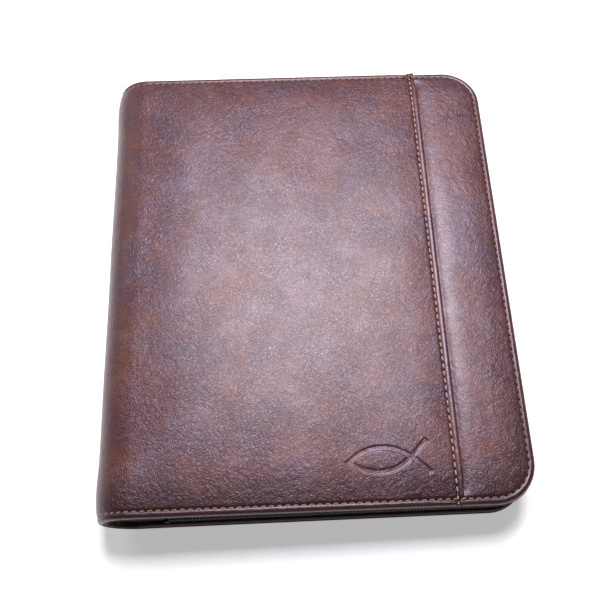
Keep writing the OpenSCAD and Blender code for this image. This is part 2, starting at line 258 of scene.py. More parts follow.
@dataclass(frozen=True)
class CaseSizes:
    """Driving sizes of the closed case, in metres."""

    half_w: float
    half_h: float
    spine_r: float
    spine_x: float
    lower_fold: tuple
    upper_fold: tuple
    tilt: float
    fold_x: float
    corner_r: float = 19 * MM
    stitch_inset: float = 3 * MM
    stitch_pitch: float = 3.5 * MM

    @classmethod
    def from_frame(cls) -> "CaseSizes":
        """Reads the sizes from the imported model's nodes and joints.

        Returns:
            The sizes.
        """
        back_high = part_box("outer_wrap_back")[1]
        joints = {joint["name"]: joint for joint in frame["record"]["behaviour"]["joints"]}
        lower = joints["spine_fold"]["pos_m"]
        upper = joints["cover_open"]["pos_m"]
        spine_r = (lower[2] + upper[2]) / 2
        paper_low, paper_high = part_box("front_endpaper")
        paper_t = 0.2 * MM
        tilt = math.atan2(paper_high[2] - paper_low[2] - paper_t, paper_high[0] - paper_low[0])
        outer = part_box("outer_wrap_front")[1][0]
        lean = math.tan(tilt) * (2 * spine_r - upper[2])
        fold_x = upper[0] + (outer - upper[0]) / math.cos(tilt) - lean
        return cls(back_high[0], back_high[1], spine_r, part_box("spine_leather")[0][0] + spine_r,
                   (lower[0], lower[2]), (upper[0], upper[2]), tilt, fold_x)

    @property
    def case_t(self) -> float:
        """Thickness of the case at the spine."""
        return 2 * self.spine_r

    def slope(self, points: Array, share: Array | float = 1.0) -> Array:
        """Slopes points of the front cover down to the free edge, about the upper fold.

        Args:
            points: n by 3 positions before the slope.
            share: how much of the slope each point takes, from 0 to 1.

        Returns:
            The sloped positions.
        """
        angle = self.tilt * np.asarray(share, float)
        dx = points[..., 0] - self.upper_fold[0]
        dz = points[..., 2] - self.upper_fold[1]
        x = self.upper_fold[0] + dx * np.cos(angle) + dz * np.sin(angle)
        z = self.upper_fold[1] - dx * np.sin(angle) + dz * np.cos(angle)
        return np.stack([x, points[..., 1], z], -1)

    def turn(self, directions: Array) -> Array:
        """Turns directions by the front cover's slope.

        Args:
            directions: n by 3 directions before the slope.

        Returns:
            The turned directions.
        """
        c, s = math.cos(self.tilt), math.sin(self.tilt)
        x, y, z = directions[..., 0], directions[..., 1], directions[..., 2]
        return np.stack([x * c + z * s, y, -x * s + z * c], -1)


@dataclass(frozen=True)
class Rim:
    """How the leather rolls over the rim and dips at the edge seam, as inset and drop."""

    roll_in: float = 1.7 * MM
    roll_down: float = 1.95 * MM
    seam_at: float = 3.0 * MM
    seam_dip: float = 0.55 * MM
    seam_half: float = 0.62 * MM
    fall: float = 1.75 * MM
    fall_width: float = 23 * MM
    shoulder: float = 0.55 * MM
    shoulder_width: float = 5.5 * MM
    crown: float = 1.0 * MM

    def rolled(self, count: int = 15) -> tuple[Array, Array]:
        """The stretch from the tucked edge to the top of the roll, as insets and drops.

        Args:
            count: how many places to take.

        Returns:
            The insets and the drops, in metres.
        """
        turn = np.radians(np.linspace(-58, 90, count))
        inset = self.roll_in * (1 - np.cos(turn))
        drop = self.roll_down * (1 - np.sin(turn)) + self.drop_at(self.roll_in)
        return inset, drop

    def drop_at(self, inset: Array | float) -> Array:
        """How far the surface lies below the flat cover, at an inset inside the roll.

        Args:
            inset: distance from the rim, one or many.

        Returns:
            The drops, negative where the padding stands proud.
        """
        seam = self.seam_dip * np.exp(-((np.asarray(inset) - self.seam_at) / self.seam_half) ** 2)
        wide = 1 - np.clip(inset / self.fall_width, 0, 1)
        near = 1 - np.clip(inset / self.shoulder_width, 0, 1)
        return seam + self.fall * wide ** 2 + self.shoulder * near ** 2 - self.crown


# ---------------------------------------------------------------- finishes


class Lay(Enum):
    """Where a finish takes its pattern's coordinates from."""

    CUT = "lie"
    SOLID = "object"


class Recipe:
    """One material while it is being written, node by node."""

    def __init__(self, name: str, lay: Lay) -> None:
        """Starts a material with a shader and its pattern's coordinates in millimetres.

        Args:
            name: the material's name.
            lay: where the coordinates come from.
        """
        self.material = bpy.data.materials.new(name)
        self.material.use_nodes = True
        self.tree = self.material.node_tree
        self.tree.nodes.clear()
        self.shader = self.tree.nodes.new("ShaderNodeBsdfPrincipled")
        output = self.tree.nodes.new("ShaderNodeOutputMaterial")
        self.tree.links.new(self.shader.outputs[0], output.inputs[0])
        if lay is Lay.CUT:
            place = self.tree.nodes.new("ShaderNodeAttribute")
            place.attribute_name = lay.value
            self.place = place.outputs["Vector"]
        else:
            place = self.tree.nodes.new("ShaderNodeTexCoord")
            self.place = self.math_vector("MULTIPLY", place.outputs["Object"], (1 / MM,) * 3)

    def put(self, socket: bpy.types.NodeSocket, value: object) -> None:
        """Links a socket into another, or sets its value.

        Args:
            socket: the socket to feed.
            value: the socket to link from, or a plain value.
        """
        if isinstance(value, bpy.types.NodeSocket):
            self.tree.links.new(value, socket)
        else:
            socket.default_value = value

    def set(self, **values: object) -> None:
        """Sets the shader's sockets; an underscore in a name stands for a space."""
        for name, value in values.items():
            self.put(self.shader.inputs[name.replace("_", " ")], value)

    def math(self, operation: str, *values: object) -> bpy.types.NodeSocket:
        """One step of arithmetic on numbers.

        Args:
            operation: the step's name.
            values: its operands, as sockets or numbers.

        Returns:
            The result's socket.
        """
        node = self.tree.nodes.new("ShaderNodeMath")
        node.operation = operation
        for socket, value in zip(node.inputs, values):
            self.put(socket, value)
        return node.outputs[0]

    def math_vector(self, operation: str, *values: object) -> bpy.types.NodeSocket:
        """One step of arithmetic on vectors.

        Args:
            operation: the step's name.
            values: its operands, as sockets or triples.

        Returns:
            The result's socket.
        """
        node = self.tree.nodes.new("ShaderNodeVectorMath")
        node.operation = operation
        for socket, value in zip(node.inputs, values):
            self.put(socket, value)
        return node.outputs[0]

    def noise(self, scale: float, detail: float = 2.0, place: object = None, colour: bool = False,
              distortion: float = 0.0) -> bpy.types.NodeSocket:
        """Smooth noise with scale features per millimetre.

        Args:
            scale: features per millimetre.
            detail: how many finer layers are added.
            place: where it is read; the pattern's own coordinates where None.
            colour: gives three channels instead of one.
            distortion: how far the noise is stirred.

        Returns:
            The noise's socket, from 0 to 1.
        """
        node = self.tree.nodes.new("ShaderNodeTexNoise")
        self.put(node.inputs["Vector"], self.place if place is None else place)
        node.inputs["Scale"].default_value = scale
        node.inputs["Detail"].default_value = detail
        node.inputs["Distortion"].default_value = distortion
        return node.outputs["Color" if colour else "Fac"]

    def cells(self, scale: float, feature: str = "F1", place: object = None) -> bpy.types.NodeSocket:
        """Distance in a pattern of cells with scale cells per millimetre.

        Args:
            scale: cells per millimetre.
            feature: which distance is given.
            place: where it is read; the pattern's own coordinates where None.

        Returns:
            The distance's socket.
        """
        node = self.tree.nodes.new("ShaderNodeTexVoronoi")
        node.feature = feature
        self.put(node.inputs["Vector"], self.place if place is None else place)
        node.inputs["Scale"].default_value = scale
        return node.outputs["Distance"]

    def wave(self, scale: float, direction: str, distortion: float = 0.0) -> bpy.types.NodeSocket:
        """Parallel ribs across one direction.

        Args:
            scale: the ribs' frequency.
            direction: the axis that they follow one another along.
            distortion: how far they waver.

        Returns:
            The ribs' socket, from 0 to 1.
        """
        node = self.tree.nodes.new("ShaderNodeTexWave")
        node.bands_direction = direction
        self.put(node.inputs["Vector"], self.place)
        node.inputs["Scale"].default_value = scale
        node.inputs["Distortion"].default_value = distortion
        return node.outputs["Fac"]

    def between(self, value: object, low: float, high: float) -> bpy.types.NodeSocket:
        """Rises smoothly from 0 at low to 1 at high.

        Args:
            value: the value to compare, as a socket or a number.
            low: where the rise starts.
            high: where it ends.

        Returns:
            The share's socket.
        """
        node = self.tree.nodes.new("ShaderNodeMapRange")
        node.interpolation_type = "SMOOTHSTEP"
        self.put(node.inputs["Value"], value)
        node.inputs["From Min"].default_value = low
        node.inputs["From Max"].default_value = high
        return node.outputs["Result"]

    def blend(self, share: object, first: object, second: object) -> bpy.types.NodeSocket:
        """Mixes two colours.

        Args:
            share: how much of the second colour, from 0 to 1.
            first: the first colour.
            second: the second colour.

        Returns:
            The mixed colour's socket.
        """
        node = self.tree.nodes.new("ShaderNodeMix")
        node.data_type = "RGBA"
        self.put(node.inputs[0], share)
        self.put(node.inputs[6], first)
        self.put(node.inputs[7], second)
        return node.outputs[2]

    def ramp(self, value: object, stops: list[tuple]) -> bpy.types.NodeSocket:
        """A run of colours, given as (position, colour) pairs.

        Args:
            value: where on the run to read.
            stops: the pairs, rising.

        Returns:
            The colour's socket.
        """
        node = self.tree.nodes.new("ShaderNodeValToRGB")
        self.put(node.inputs[0], value)
        band = node.color_ramp.elements
        while len(band) < len(stops):
            band.new(0.5)
        for element, (position, colour) in zip(band, stops):
            element.position = position
            element.color = colour
        return node.outputs[0]

    def bump(self, height: object, depth: float, under: object = None) -> bpy.types.NodeSocket:
        """Turns a height from 0 to 1 into relief of a depth in metres.

        Args:
            height: the height's socket.
            depth: the relief's depth.
            under: a coarser relief that this one lies on.

        Returns:
            The surface direction's socket.
        """
        node = self.tree.nodes.new("ShaderNodeBump")
        self.put(node.inputs["Height"], height)
        node.inputs["Distance"].default_value = depth
        if under is not None:
            self.put(node.inputs["Normal"], under)
        return node.outputs[0]


def rgb(red: float, green: float, blue: float) -> tuple:
    """A linear colour."""
    return red, green, blue, 1.0


@dataclass(frozen=True)
class Leather:
    """Antiqued glazed leather: worm-like grain, patches of chestnut and plum, and painted shade near the
    rim.
    """

    name: str
    chestnut: tuple = rgb(0.135, 0.040, 0.022)
    brown: tuple = rgb(0.086, 0.026, 0.023)
    plum: tuple = rgb(0.064, 0.027, 0.044)
    deep: tuple = rgb(0.022, 0.006, 0.006)
    # How dark the painted shade near the rim goes.
    painted_shade_depth: float = 0.72
    shine: float = 0.55
    grain_depth: float = 0.15 * MM
    roughness: float = 0.40
    coat: float = 0.22
    glaze: tuple = rgb(1.0, 0.82, 0.97)
    runs: tuple = (25.0, 80.0, 140.0)

    def grain(self, r: Recipe) -> bpy.types.NodeSocket:
        """Flowing ridges about a millimetre apart, whose run turns from place to place.

        Args:
            r: the material being written.

        Returns:
            The relief's height, from 0 to 1.
        """
        drift = r.math_vector("SUBTRACT", r.noise(0.11, 2.0, colour=True), (0.5, 0.5, 0.5))
        bent = r.math_vector("ADD", r.place, r.math_vector("MULTIPLY", drift, (2.6, 2.6, 0.0)))
        runs = []
        for turn in self.runs:
            laid = r.tree.nodes.new("ShaderNodeVectorRotate")
            laid.rotation_type = "Z_AXIS"
            laid.inputs["Angle"].default_value = math.radians(turn)
            r.put(laid.inputs["Vector"], bent)
            drawn = r.math_vector("MULTIPLY", laid.outputs[0], (0.50, 1.0, 1.0))
            runs.append(r.math("ABSOLUTE", r.math("SUBTRACT", r.noise(1.0, 1.0, drawn), 0.5)))
        ridge = runs[0]
        for k, run in enumerate(runs[1:]):
            chooser = r.noise(0.030, 1.0, r.math_vector("ADD", r.place, (90.0 * k + 50.0, 35.0, 9.0)))
            share = r.between(chooser, 0.46, 0.54)
            ridge = r.math("ADD", r.math("MULTIPLY", ridge, r.math("SUBTRACT", 1.0, share)),
                           r.math("MULTIPLY", run, share))
        worms = r.between(ridge, 0.0, 0.13)
        pebbles = r.between(r.cells(1.3, "SMOOTH_F1", bent), 0.05, 0.8)
        both = r.math("SUBTRACT", r.math("MULTIPLY", worms, 0.8), r.math("MULTIPLY", pebbles, 0.4))
        return r.math("ADD", both, r.math("MULTIPLY", r.noise(3.2, 2.0), 0.15))

    def make(self, lay: Lay) -> bpy.types.Material:
        """Writes the material.

        Args:
            lay: where the coordinates come from.

        Returns:
            The finished material.
        """
        r = Recipe(self.name, lay)
        pressed = r.tree.nodes.new("ShaderNodeAttribute")
        pressed.attribute_name = "pressed"
        kept = r.math("SUBTRACT", 1.0, pressed.outputs["Fac"])
        strong = r.math("ADD", 0.55, r.math("MULTIPLY", r.between(r.noise(0.045, 2.0), 0.36, 0.62), 0.45))
        grain = r.math("MULTIPLY", r.math("MULTIPLY", self.grain(r), strong), kept)
        broad = r.noise(0.021, 3.0, distortion=0.6)
        patch = r.noise(0.075, 3.0, r.math_vector("ADD", r.place, (310.0, 75.0, 4.0)), distortion=0.8)
        mood = r.math("ADD", r.math("MULTIPLY", broad, 0.45), r.math("MULTIPLY", patch, 0.55))
        stain = r.ramp(mood, [(0.36, self.plum), (0.50, self.brown), (0.64, self.chestnut)])
        fleck = r.between(r.noise(0.9, 3.0), 0.35, 0.7)
        valley = r.between(grain, -0.05, 0.45)
        shade = r.math("ADD", r.math("MULTIPLY", valley, 0.22), r.math("MULTIPLY", fleck, 0.14))
        dark = r.blend(r.math("SUBTRACT", 0.36, shade), stain, self.deep)
        # Painted shade: the colour darkens near the rim, most at the foot, away from the key light.
        painted_shade = r.tree.nodes.new("ShaderNodeAttribute")
        painted_shade.attribute_name = "painted_shade"
        dark = r.blend(r.math("MULTIPLY", painted_shade.outputs["Fac"], self.painted_shade_depth), dark, self.deep)
        creases = r.between(r.noise(0.16, 4.0, distortion=1.4), 0.3, 0.7)
        waves = r.bump(creases, 0.12 * MM)
        rubbed = r.math("ADD", self.roughness - 0.05, r.math("MULTIPLY", patch, 0.12))
        r.set(Base_Color=dark, Roughness=rubbed,
              Normal=r.bump(grain, self.grain_depth, waves), Specular_IOR_Level=self.shine,
              Specular_Tint=self.glaze, Coat_Weight=self.coat, Coat_Roughness=0.27)
        return r.material


@dataclass(frozen=True)
class Thread:
    """Waxed twisted sewing thread."""

    name: str
    light: tuple
    dark: tuple

    def make(self, lay: Lay) -> bpy.types.Material:
        """Writes the material.

        Args:
            lay: where the coordinates come from.

        Returns:
            The finished material.
        """
        r = Recipe(self.name, lay)
        twist = r.tree.nodes.new("ShaderNodeVectorRotate")
        twist.rotation_type = "Z_AXIS"
        r.put(twist.inputs["Vector"], r.place)
        twist.inputs["Angle"].default_value = 0.7
        strands = r.tree.nodes.new("ShaderNodeTexWave")
        r.put(strands.inputs["Vector"], twist.outputs[0])
        strands.inputs["Scale"].default_value = 0.9
        strands.inputs["Distortion"].default_value = 0.6
        wear = r.between(r.noise(0.35, 3.0), 0.35, 0.65)
        mixed = r.blend(r.math("MULTIPLY", strands.outputs["Fac"], 0.5), self.light, self.dark)
        r.set(Base_Color=r.blend(r.math("MULTIPLY", wear, 0.35), mixed, self.dark), Roughness=0.62,
              Normal=r.bump(strands.outputs["Fac"], 0.12 * MM), Sheen_Weight=0.2)
        return r.material


@dataclass(frozen=True)
class Woven:
    """Plain woven fabric, such as zip tape or lining."""

    name: str
    warp: tuple
    weft: tuple
    threads_per_mm: float = 1.6
    sheen: float = 0.25
    roughness: float = 0.8

    def make(self, lay: Lay) -> bpy.types.Material:
        """Writes the material.

        Args:
            lay: where the coordinates come from.

        Returns:
            The finished material.
        """
        r = Recipe(self.name, lay)
        pitch = self.threads_per_mm * 0.314
        across, along, upright = (r.wave(pitch, axis, 0.3) for axis in ("X", "Y", "Z"))
        over = r.math("MULTIPLY", r.math("MAXIMUM", across, upright), along)
        uneven = r.between(r.noise(0.12, 4.0), 0.3, 0.7)
        cloth = r.blend(over, self.warp, self.weft)
        faded = r.blend(r.math("MULTIPLY", uneven, 0.25), cloth, tuple(0.55 * part for part in self.warp))
        r.set(Base_Color=faded, Roughness=self.roughness, Sheen_Weight=self.sheen,
              Normal=r.bump(over, 0.10 * MM), Specular_IOR_Level=0.3)
        return r.material


@dataclass(frozen=True)
class Moulded:
    """Nylon, board, foam or other plain stuff with a fine uneven surface."""

    name: str
    colour: tuple
    speck: tuple
    size_per_mm: float = 1.5
    roughness: float = 0.6
    depth: float = 0.05 * MM
    shine: float = 0.45

    def make(self, lay: Lay) -> bpy.types.Material:
        """Writes the material.

        Args:
            lay: where the coordinates come from.

        Returns:
            The finished material.
        """
        r = Recipe(self.name, lay)
        fine = r.noise(self.size_per_mm, 4.0)
        spots = r.between(fine, 0.42, 0.68)
        cloud = r.noise(0.08, 2.0)
        base = r.blend(r.math("MULTIPLY", spots, 0.7), self.colour, self.speck)
        r.set(Base_Color=r.blend(r.math("MULTIPLY", cloud, 0.3), base, self.speck),
              Roughness=r.math("ADD", self.roughness - 0.06, r.math("MULTIPLY", fine, 0.12)),
              Normal=r.bump(fine, self.depth), Specular_IOR_Level=self.shine)
        return r.material


@dataclass(frozen=True)
class Brass:
    """Antique brass: bright on the high places, dark in the worn film."""

    name: str
    bright: tuple = rgb(0.52, 0.39, 0.20)
    film: tuple = rgb(0.12, 0.085, 0.05)

    def make(self, lay: Lay) -> bpy.types.Material:
        """Writes the material.

        Args:
            lay: where the coordinates come from.

        Returns:
            The finished material.
        """
        r = Recipe(self.name, lay)
        film = r.between(r.noise(0.45, 5.0, distortion=0.5), 0.38, 0.66)
        scratches = r.noise(2.8, 3.0, r.math_vector("MULTIPLY", r.place, (0.15, 1.0, 1.0)))
        r.set(Base_Color=r.blend(r.math("MULTIPLY", film, 0.7), self.bright, self.film), Metallic=1.0,
              Roughness=r.math("ADD", 0.26, r.math("MULTIPLY", film, 0.22)),
              Normal=r.bump(scratches, 0.03 * MM))
        return r.material


@dataclass(frozen=True)
class Paper:
    """Paper with fibres; on the block's sides the cut leaves show as fine lines."""

    name: str
    colour: tuple = rgb(0.80, 0.74, 0.62)
    line: tuple = rgb(0.62, 0.54, 0.40)
    leaves_per_mm: float = 0.0

    def make(self, lay: Lay) -> bpy.types.Material:
        """Writes the material.

        Args:
            lay: where the coordinates come from.

        Returns:
            The finished material.
        """
        r = Recipe(self.name, lay)
        fibre = r.noise(1.2, 5.0)
        tone = r.blend(r.math("MULTIPLY", r.noise(0.03, 3.0), 0.5), self.colour, self.line)
        height = fibre
        if self.leaves_per_mm:
            cut = r.wave(self.leaves_per_mm * 0.314, "Z", 1.2)
            tone = r.blend(r.math("MULTIPLY", cut, 0.45), tone, self.line)
            height = r.math("ADD", r.math("MULTIPLY", fibre, 0.3), cut)
        r.set(Base_Color=tone, Roughness=0.82, Normal=r.bump(height, 0.04 * MM))
        return r.material


class Finish(Enum):
    """The finishes of the case and the book."""

    HIDE = Leather("antiqued_leather")
    STRIP_HIDE = Leather("antiqued_strip_leather", grain_depth=0.10 * MM)
    BINDING = Leather("rim_binding", rgb(0.060, 0.024, 0.022), rgb(0.040, 0.018, 0.018),
                      rgb(0.032, 0.016, 0.021), grain_depth=0.06 * MM, roughness=0.5, coat=0.0,
                      shine=0.14)
    EDGE_THREAD = Thread("edge_thread", rgb(0.34, 0.245, 0.15), rgb(0.13, 0.075, 0.045))
    TOP_THREAD = Thread("top_thread", rgb(0.70, 0.61, 0.47), rgb(0.26, 0.18, 0.12))
    # Painted shade: near-black marks for the shade inside the needle holes.
    HOLE_SHADE = Moulded("needle_hole_shade", rgb(0.012, 0.006, 0.005), rgb(0.024, 0.010, 0.008), 2.0, 0.9,
                   shine=0.05)
    PIPING = Moulded("waxed_edge", rgb(0.085, 0.066, 0.060), rgb(0.05, 0.038, 0.035), 1.2, 0.5,
                     shine=0.15)
    # Partly painted shade: the zip tape's and the coil's own dark colours are darkened further to stand
    # for the shade under the rim.
    TAPE = Woven("zip_tape_weave", rgb(0.014, 0.007, 0.011), rgb(0.007, 0.004, 0.006), 1.8, 0.0, 0.95)
    COIL = Moulded("zip_coil_nylon", rgb(0.022, 0.014, 0.016), rgb(0.010, 0.007, 0.008), 0.9, 0.4,
                   shine=0.12)
    LINING = Woven("lining_weave", rgb(0.105, 0.062, 0.045), rgb(0.055, 0.032, 0.024), 1.3, 0.35)
    BRASS = Brass("antique_brass")
    FOAM = Moulded("foam", rgb(0.62, 0.58, 0.50), rgb(0.46, 0.42, 0.35), 2.2, 0.9, 0.2 * MM)
    BOARD = Moulded("grey_board", rgb(0.26, 0.22, 0.17), rgb(0.17, 0.14, 0.11), 1.1, 0.85)
    BOOK = Leather("book_leather", rgb(0.022, 0.017, 0.017), rgb(0.016, 0.013, 0.013),
                   rgb(0.012, 0.010, 0.012), rgb(0.006, 0.005, 0.005), grain_depth=0.07 * MM,
                   roughness=0.42, coat=0.1, glaze=rgb(1.0, 1.0, 1.0))
    PAPER = Paper("cream_paper")
    LEAVES = Paper("gilt_leaves", rgb(0.72, 0.54, 0.22), rgb(0.40, 0.27, 0.10), 2.2)
    HEADBAND = Woven("headband_weave", rgb(0.60, 0.42, 0.12), rgb(0.30, 0.05, 0.04), 0.9, 0.4, 0.6)


class Dresser:
    """Gives pieces and carried-over nodes their finishes, making each material once."""

    def __init__(self) -> None:
        """Starts with no materials made."""
        self.made: dict = {}

    def material(self, finish: Finish, lay: Lay) -> bpy.types.Material:
        """The material of a finish, made when it is first asked for.

        Args:
            finish: the finish.
            lay: where its pattern's coordinates come from.

        Returns:
            The material.
        """
        key = (finish, lay)
        if key not in self.made:
            self.made[key] = finish.value.make(lay)
        return self.made[key]

    def dress(self, piece: Piece, finish: Finish, slot: str, *bodies: str) -> Piece:
        """Finishes a new piece, and lets it ride on a body when one is given.

        Args:
            piece: the piece.
            finish: its finish.
            slot: the record's material slot that it stands for; not used.
            bodies: the body that it rides on, if it doesn't bend.

        Returns:
            The same piece.
        """
        piece.data.materials.clear()
        piece.data.materials.append(self.material(finish, Lay.CUT))
        for body in bodies:
            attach(piece, body)
        return piece

    def redress(self, finish: Finish, *nodes: str) -> None:
        """Gives carried-over nodes a finish that follows their solid shape.

        Args:
            finish: the finish.
            nodes: the nodes' names.
        """
        for name in nodes:
            node = frame["nodes"][name]
            if not node.material_slots:
                node.data.materials.append(None)
            for place in node.material_slots:
                place.material = self.material(finish, Lay.SOLID)


# ---------------------------------------------------------------- outer leather


@dataclass(frozen=True)
class Section:
    """A cut across the cover: the outer surface from the middle of the spine to a free end."""

    place: Array
    outward: Array
    run: Array
    share: Array

    @classmethod
    def over_front(cls, sizes: CaseSizes, stops: Array) -> "Section":
        """The front cover's cut: up over the spine, then flat to the folded edge.

        Args:
            sizes: the case's sizes.
            stops: rising X positions of the flat stretch, from the spine's centre on.

        Returns:
            The section, before the front cover's slope.
        """
        turn = np.radians(np.linspace(180, 90, 46))
        return cls.joined(sizes, turn, stops, 1.0)

    @classmethod
    def under_back(cls, sizes: CaseSizes, stops: Array) -> "Section":
        """The back cover's cut: down under the spine, then flat along the table."""
        turn = np.radians(np.linspace(180, 270, 46))
        return cls.joined(sizes, turn, stops, -1.0)

    @classmethod
    def joined(cls, sizes: CaseSizes, turn: Array, stops: Array, up: float) -> "Section":
        """Joins the round stretch over the spine to the flat one.

        Args:
            sizes: the case's sizes.
            turn: angles round the spine.
            stops: X positions of the flat stretch.
            up: 1 for the front cover, -1 for the back.

        Returns:
            The section.
        """
        round_out = np.stack([np.cos(turn), np.sin(turn)], 1)
        centre = np.array([sizes.spine_x, sizes.spine_r])
        flat = np.stack([stops[1:], np.full(len(stops) - 1, sizes.spine_r * (1 + up))], 1)
        place = np.concatenate([centre + sizes.spine_r * round_out, flat])
        outward = np.concatenate([round_out, np.tile([0.0, up], (len(flat), 1))])
        run = np.concatenate([[0.0], np.cumsum(np.linalg.norm(np.diff(place, axis=0), axis=1))])
        fold = math.pi - math.asin((sizes.upper_fold[1] - sizes.spine_r) / sizes.spine_r)
        share = np.concatenate([1 - smoothstep(turn, fold - 0.09, fold + 0.09), np.ones(len(flat))])
        return cls(place, outward, run, share)


@dataclass
class FrontWrap:
    """The outer leather of the front, in one sheet from the spine to the pocket's folded edge."""

    sizes: CaseSizes
    rim: Rim
    dresser: Dresser
    topstitch_inset: float = 3 * MM
    topstitch_dip: float = 0.42 * MM
    hem_r: float = 0.95 * MM
    hem_tuck: float = 4 * MM
    fish_at: tuple = (29.2 * MM, -95.6 * MM)
    fish_turn: float = 3.0
    fish_arc_r: float = 20.5 * MM
    fish_arc_off: float = 15.2 * MM
    fish_line: float = 2.5 * MM
    fish_depth: float = 0.38 * MM
    tail_from: float = 14.2 * MM
    tail_len: float = 10.2 * MM
    tail_turn: float = 45.0

    @property
    def topstitch_x(self) -> float:
        """Where the row of stitches beside the folded edge runs, before the slope."""
        return self.sizes.fold_x - self.topstitch_inset

    def fish(self, x: Array, y: Array) -> Array:
        """How deep the pressed fish outline is at points of the flat cover.

        Args:
            x: X positions.
            y: Y positions.

        Returns:
            The share of the full depth, from 0 to 1.
        """
        turn = math.radians(-self.fish_turn)
        px = (x - self.fish_at[0]) * math.cos(turn) - (y - self.fish_at[1]) * math.sin(turn)
        py = (x - self.fish_at[0]) * math.sin(turn) + (y - self.fish_at[1]) * math.cos(turn)
        nearest = np.full(np.shape(px), 1.0)
        for side in (-1, 1):
            ring = np.abs(np.hypot(px, py - side * self.fish_arc_off) - self.fish_arc_r)
            nearest = np.minimum(nearest, np.where(side * py <= 0.3 * MM, ring, 1.0))
            angle = math.radians(side * self.tail_turn)
            qx = (px - self.tail_from) * math.cos(angle) + py * math.sin(angle)
            qy = -(px - self.tail_from) * math.sin(angle) + py * math.cos(angle)
            past = np.maximum(np.maximum(-qx, qx - self.tail_len), 0.0)
            nearest = np.minimum(nearest, np.hypot(qy, past * 2.2))
        half = self.fish_line / 2
        return 1 - smoothstep(nearest, half - 0.26 * MM, half + 0.14 * MM)

    def lift(self, x: Array, y: Array, inset: Array) -> Array:
        """Height of the padded surface above the flat cover.

        Args:
            x: X positions.
            y: Y positions.
            inset: distances from the head or foot rim.

        Returns:
            The heights, in metres.
        """
        height = -self.rim.drop_at(inset)
        spine_in = smoothstep(x, self.sizes.spine_x - 10 * MM, self.sizes.spine_x + 25 * MM)
        height -= self.rim.crown * (1 - spine_in) * smoothstep(inset, 6 * MM, 30 * MM)
        beside = self.topstitch_x - x
        height -= 0.55 * MM * np.clip(1 - np.abs(beside) / (14 * MM), 0, 1) ** 2
        height -= self.topstitch_dip * np.exp(-(beside / (0.75 * MM)) ** 2)
        slack = (np.sin(x / (17 * MM) + 1.3 * np.sin(y / (29 * MM))) * np.sin(y / (21 * MM) + 0.8)
                 + 0.6 * np.sin(x / (9 * MM) - y / (12 * MM) + 2.0))
        height += 0.07 * MM * slack * smoothstep(inset, 4 * MM, 22 * MM)
        return height - self.fish_depth * self.fish(x, y)

    def build(self) -> Piece:
        """Makes the sheet, rolled over the head and foot rims and hemmed at the pocket.

        Returns:
            The piece.
        """
        sizes, rim = self.sizes, self.rim
        edge = sizes.fold_x
        stops = spread([sizes.spine_x, 10 * MM, 53 * MM, self.topstitch_x - 3 * MM, edge - self.hem_r],
                       [2.4 * MM, 0.38 * MM, 1.5 * MM, 0.3 * MM])
        section = Section.over_front(sizes, stops)
        hem = np.radians(np.linspace(75, -90, 12))
        hem_x = np.concatenate([edge - self.hem_r + self.hem_r * np.cos(hem), [edge - self.hem_tuck]])
        hem_z = sizes.case_t - self.hem_r + self.hem_r * np.concatenate([np.sin(hem), [-1.0]])
        place = np.concatenate([section.place, np.stack([hem_x, hem_z], 1)])
        hem_out = np.stack([np.cos(hem), np.sin(hem)], 1)
        outward = np.concatenate([section.outward, hem_out, [[0.0, -1.0]]])
        share = np.concatenate([section.share, np.ones(len(hem_x))])
        follow = np.concatenate([np.ones(len(section.place)), 0.5 + 0.5 * np.sin(hem), [0.0]])
        hem_run = section.run[-1] + np.linspace(0.3, 5.0, len(hem_x)) * MM
        run = np.concatenate([section.run, hem_run])
        rolled_in, rolled_drop = rim.rolled()
        inner = spread([rim.roll_in, 7 * MM, 12 * MM, 31 * MM, sizes.half_h],
                       [0.32 * MM, 0.6 * MM, 0.38 * MM, 2.5 * MM])[1:]
        insets = np.concatenate([rolled_in, inner])
        rolled = len(rolled_in)
        foot = np.stack([insets, np.full(len(insets), -1.0)], 1)
        rows = np.concatenate([foot, foot[-2::-1] * [1.0, -1.0]])
        count = len(rows)
        inset, side = rows[:, 0], rows[:, 1]
        y = side * (sizes.half_h - inset)
        xs, ys = np.broadcast_arrays(place[:, :1], y[None, :])
        ins = np.broadcast_to(inset[None, :], xs.shape)
        height = self.lift(xs, ys, ins) * follow[:, None]
        drops = np.concatenate([rolled_drop, np.zeros(len(inner))])
        drops = np.concatenate([drops, drops[-2::-1]])
        on_roll = np.zeros(count, bool)
        on_roll[:rolled] = on_roll[-rolled:] = True
        seam = self.topstitch_dip * np.exp(-((place[:, 0] - self.topstitch_x) / (0.75 * MM)) ** 2)
        rolled_height = -(drops[None, :] + seam[:, None]) * np.maximum(follow, 0.2)[:, None]
        height = np.where(on_roll[None, :], rolled_height, height)
        points = np.stack([place[:, :1] + outward[:, :1] * height, ys,
                           place[:, 1:] + outward[:, 1:] * height], -1)
        points = sizes.slope(points, share[:, None])
        steps = np.hypot(np.diff(y), np.diff(np.where(on_roll, drops, 0.0)))
        around = np.concatenate([[0.0], np.cumsum(steps)])
        lie = np.stack(np.broadcast_arrays(run[:, None], around[None, :] - sizes.half_h, 0.0), -1) / MM
        faces = grid_faces(len(place), count)
        made = piece_from("front_leather_wrap", points.reshape(-1, 3), faces, lie.reshape(-1, 3))
        smooth = np.maximum(1 - smoothstep(ins, 2.4 * MM, 4.2 * MM), 0.75 * self.fish(xs, ys))
        hemmed = 0.7 * smoothstep(xs, self.topstitch_x - 1 * MM, self.topstitch_x + 1 * MM)
        # Painted shade near the rim, most at the foot.
        press(made, np.maximum(smooth, hemmed), painted_shade_at(ins, ys))
        self.dresser.dress(made, Finish.HIDE, "cover_leather")
        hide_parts("outer_wrap_front", "spine_leather")
        bend_at_upper_fold(made)
        return made


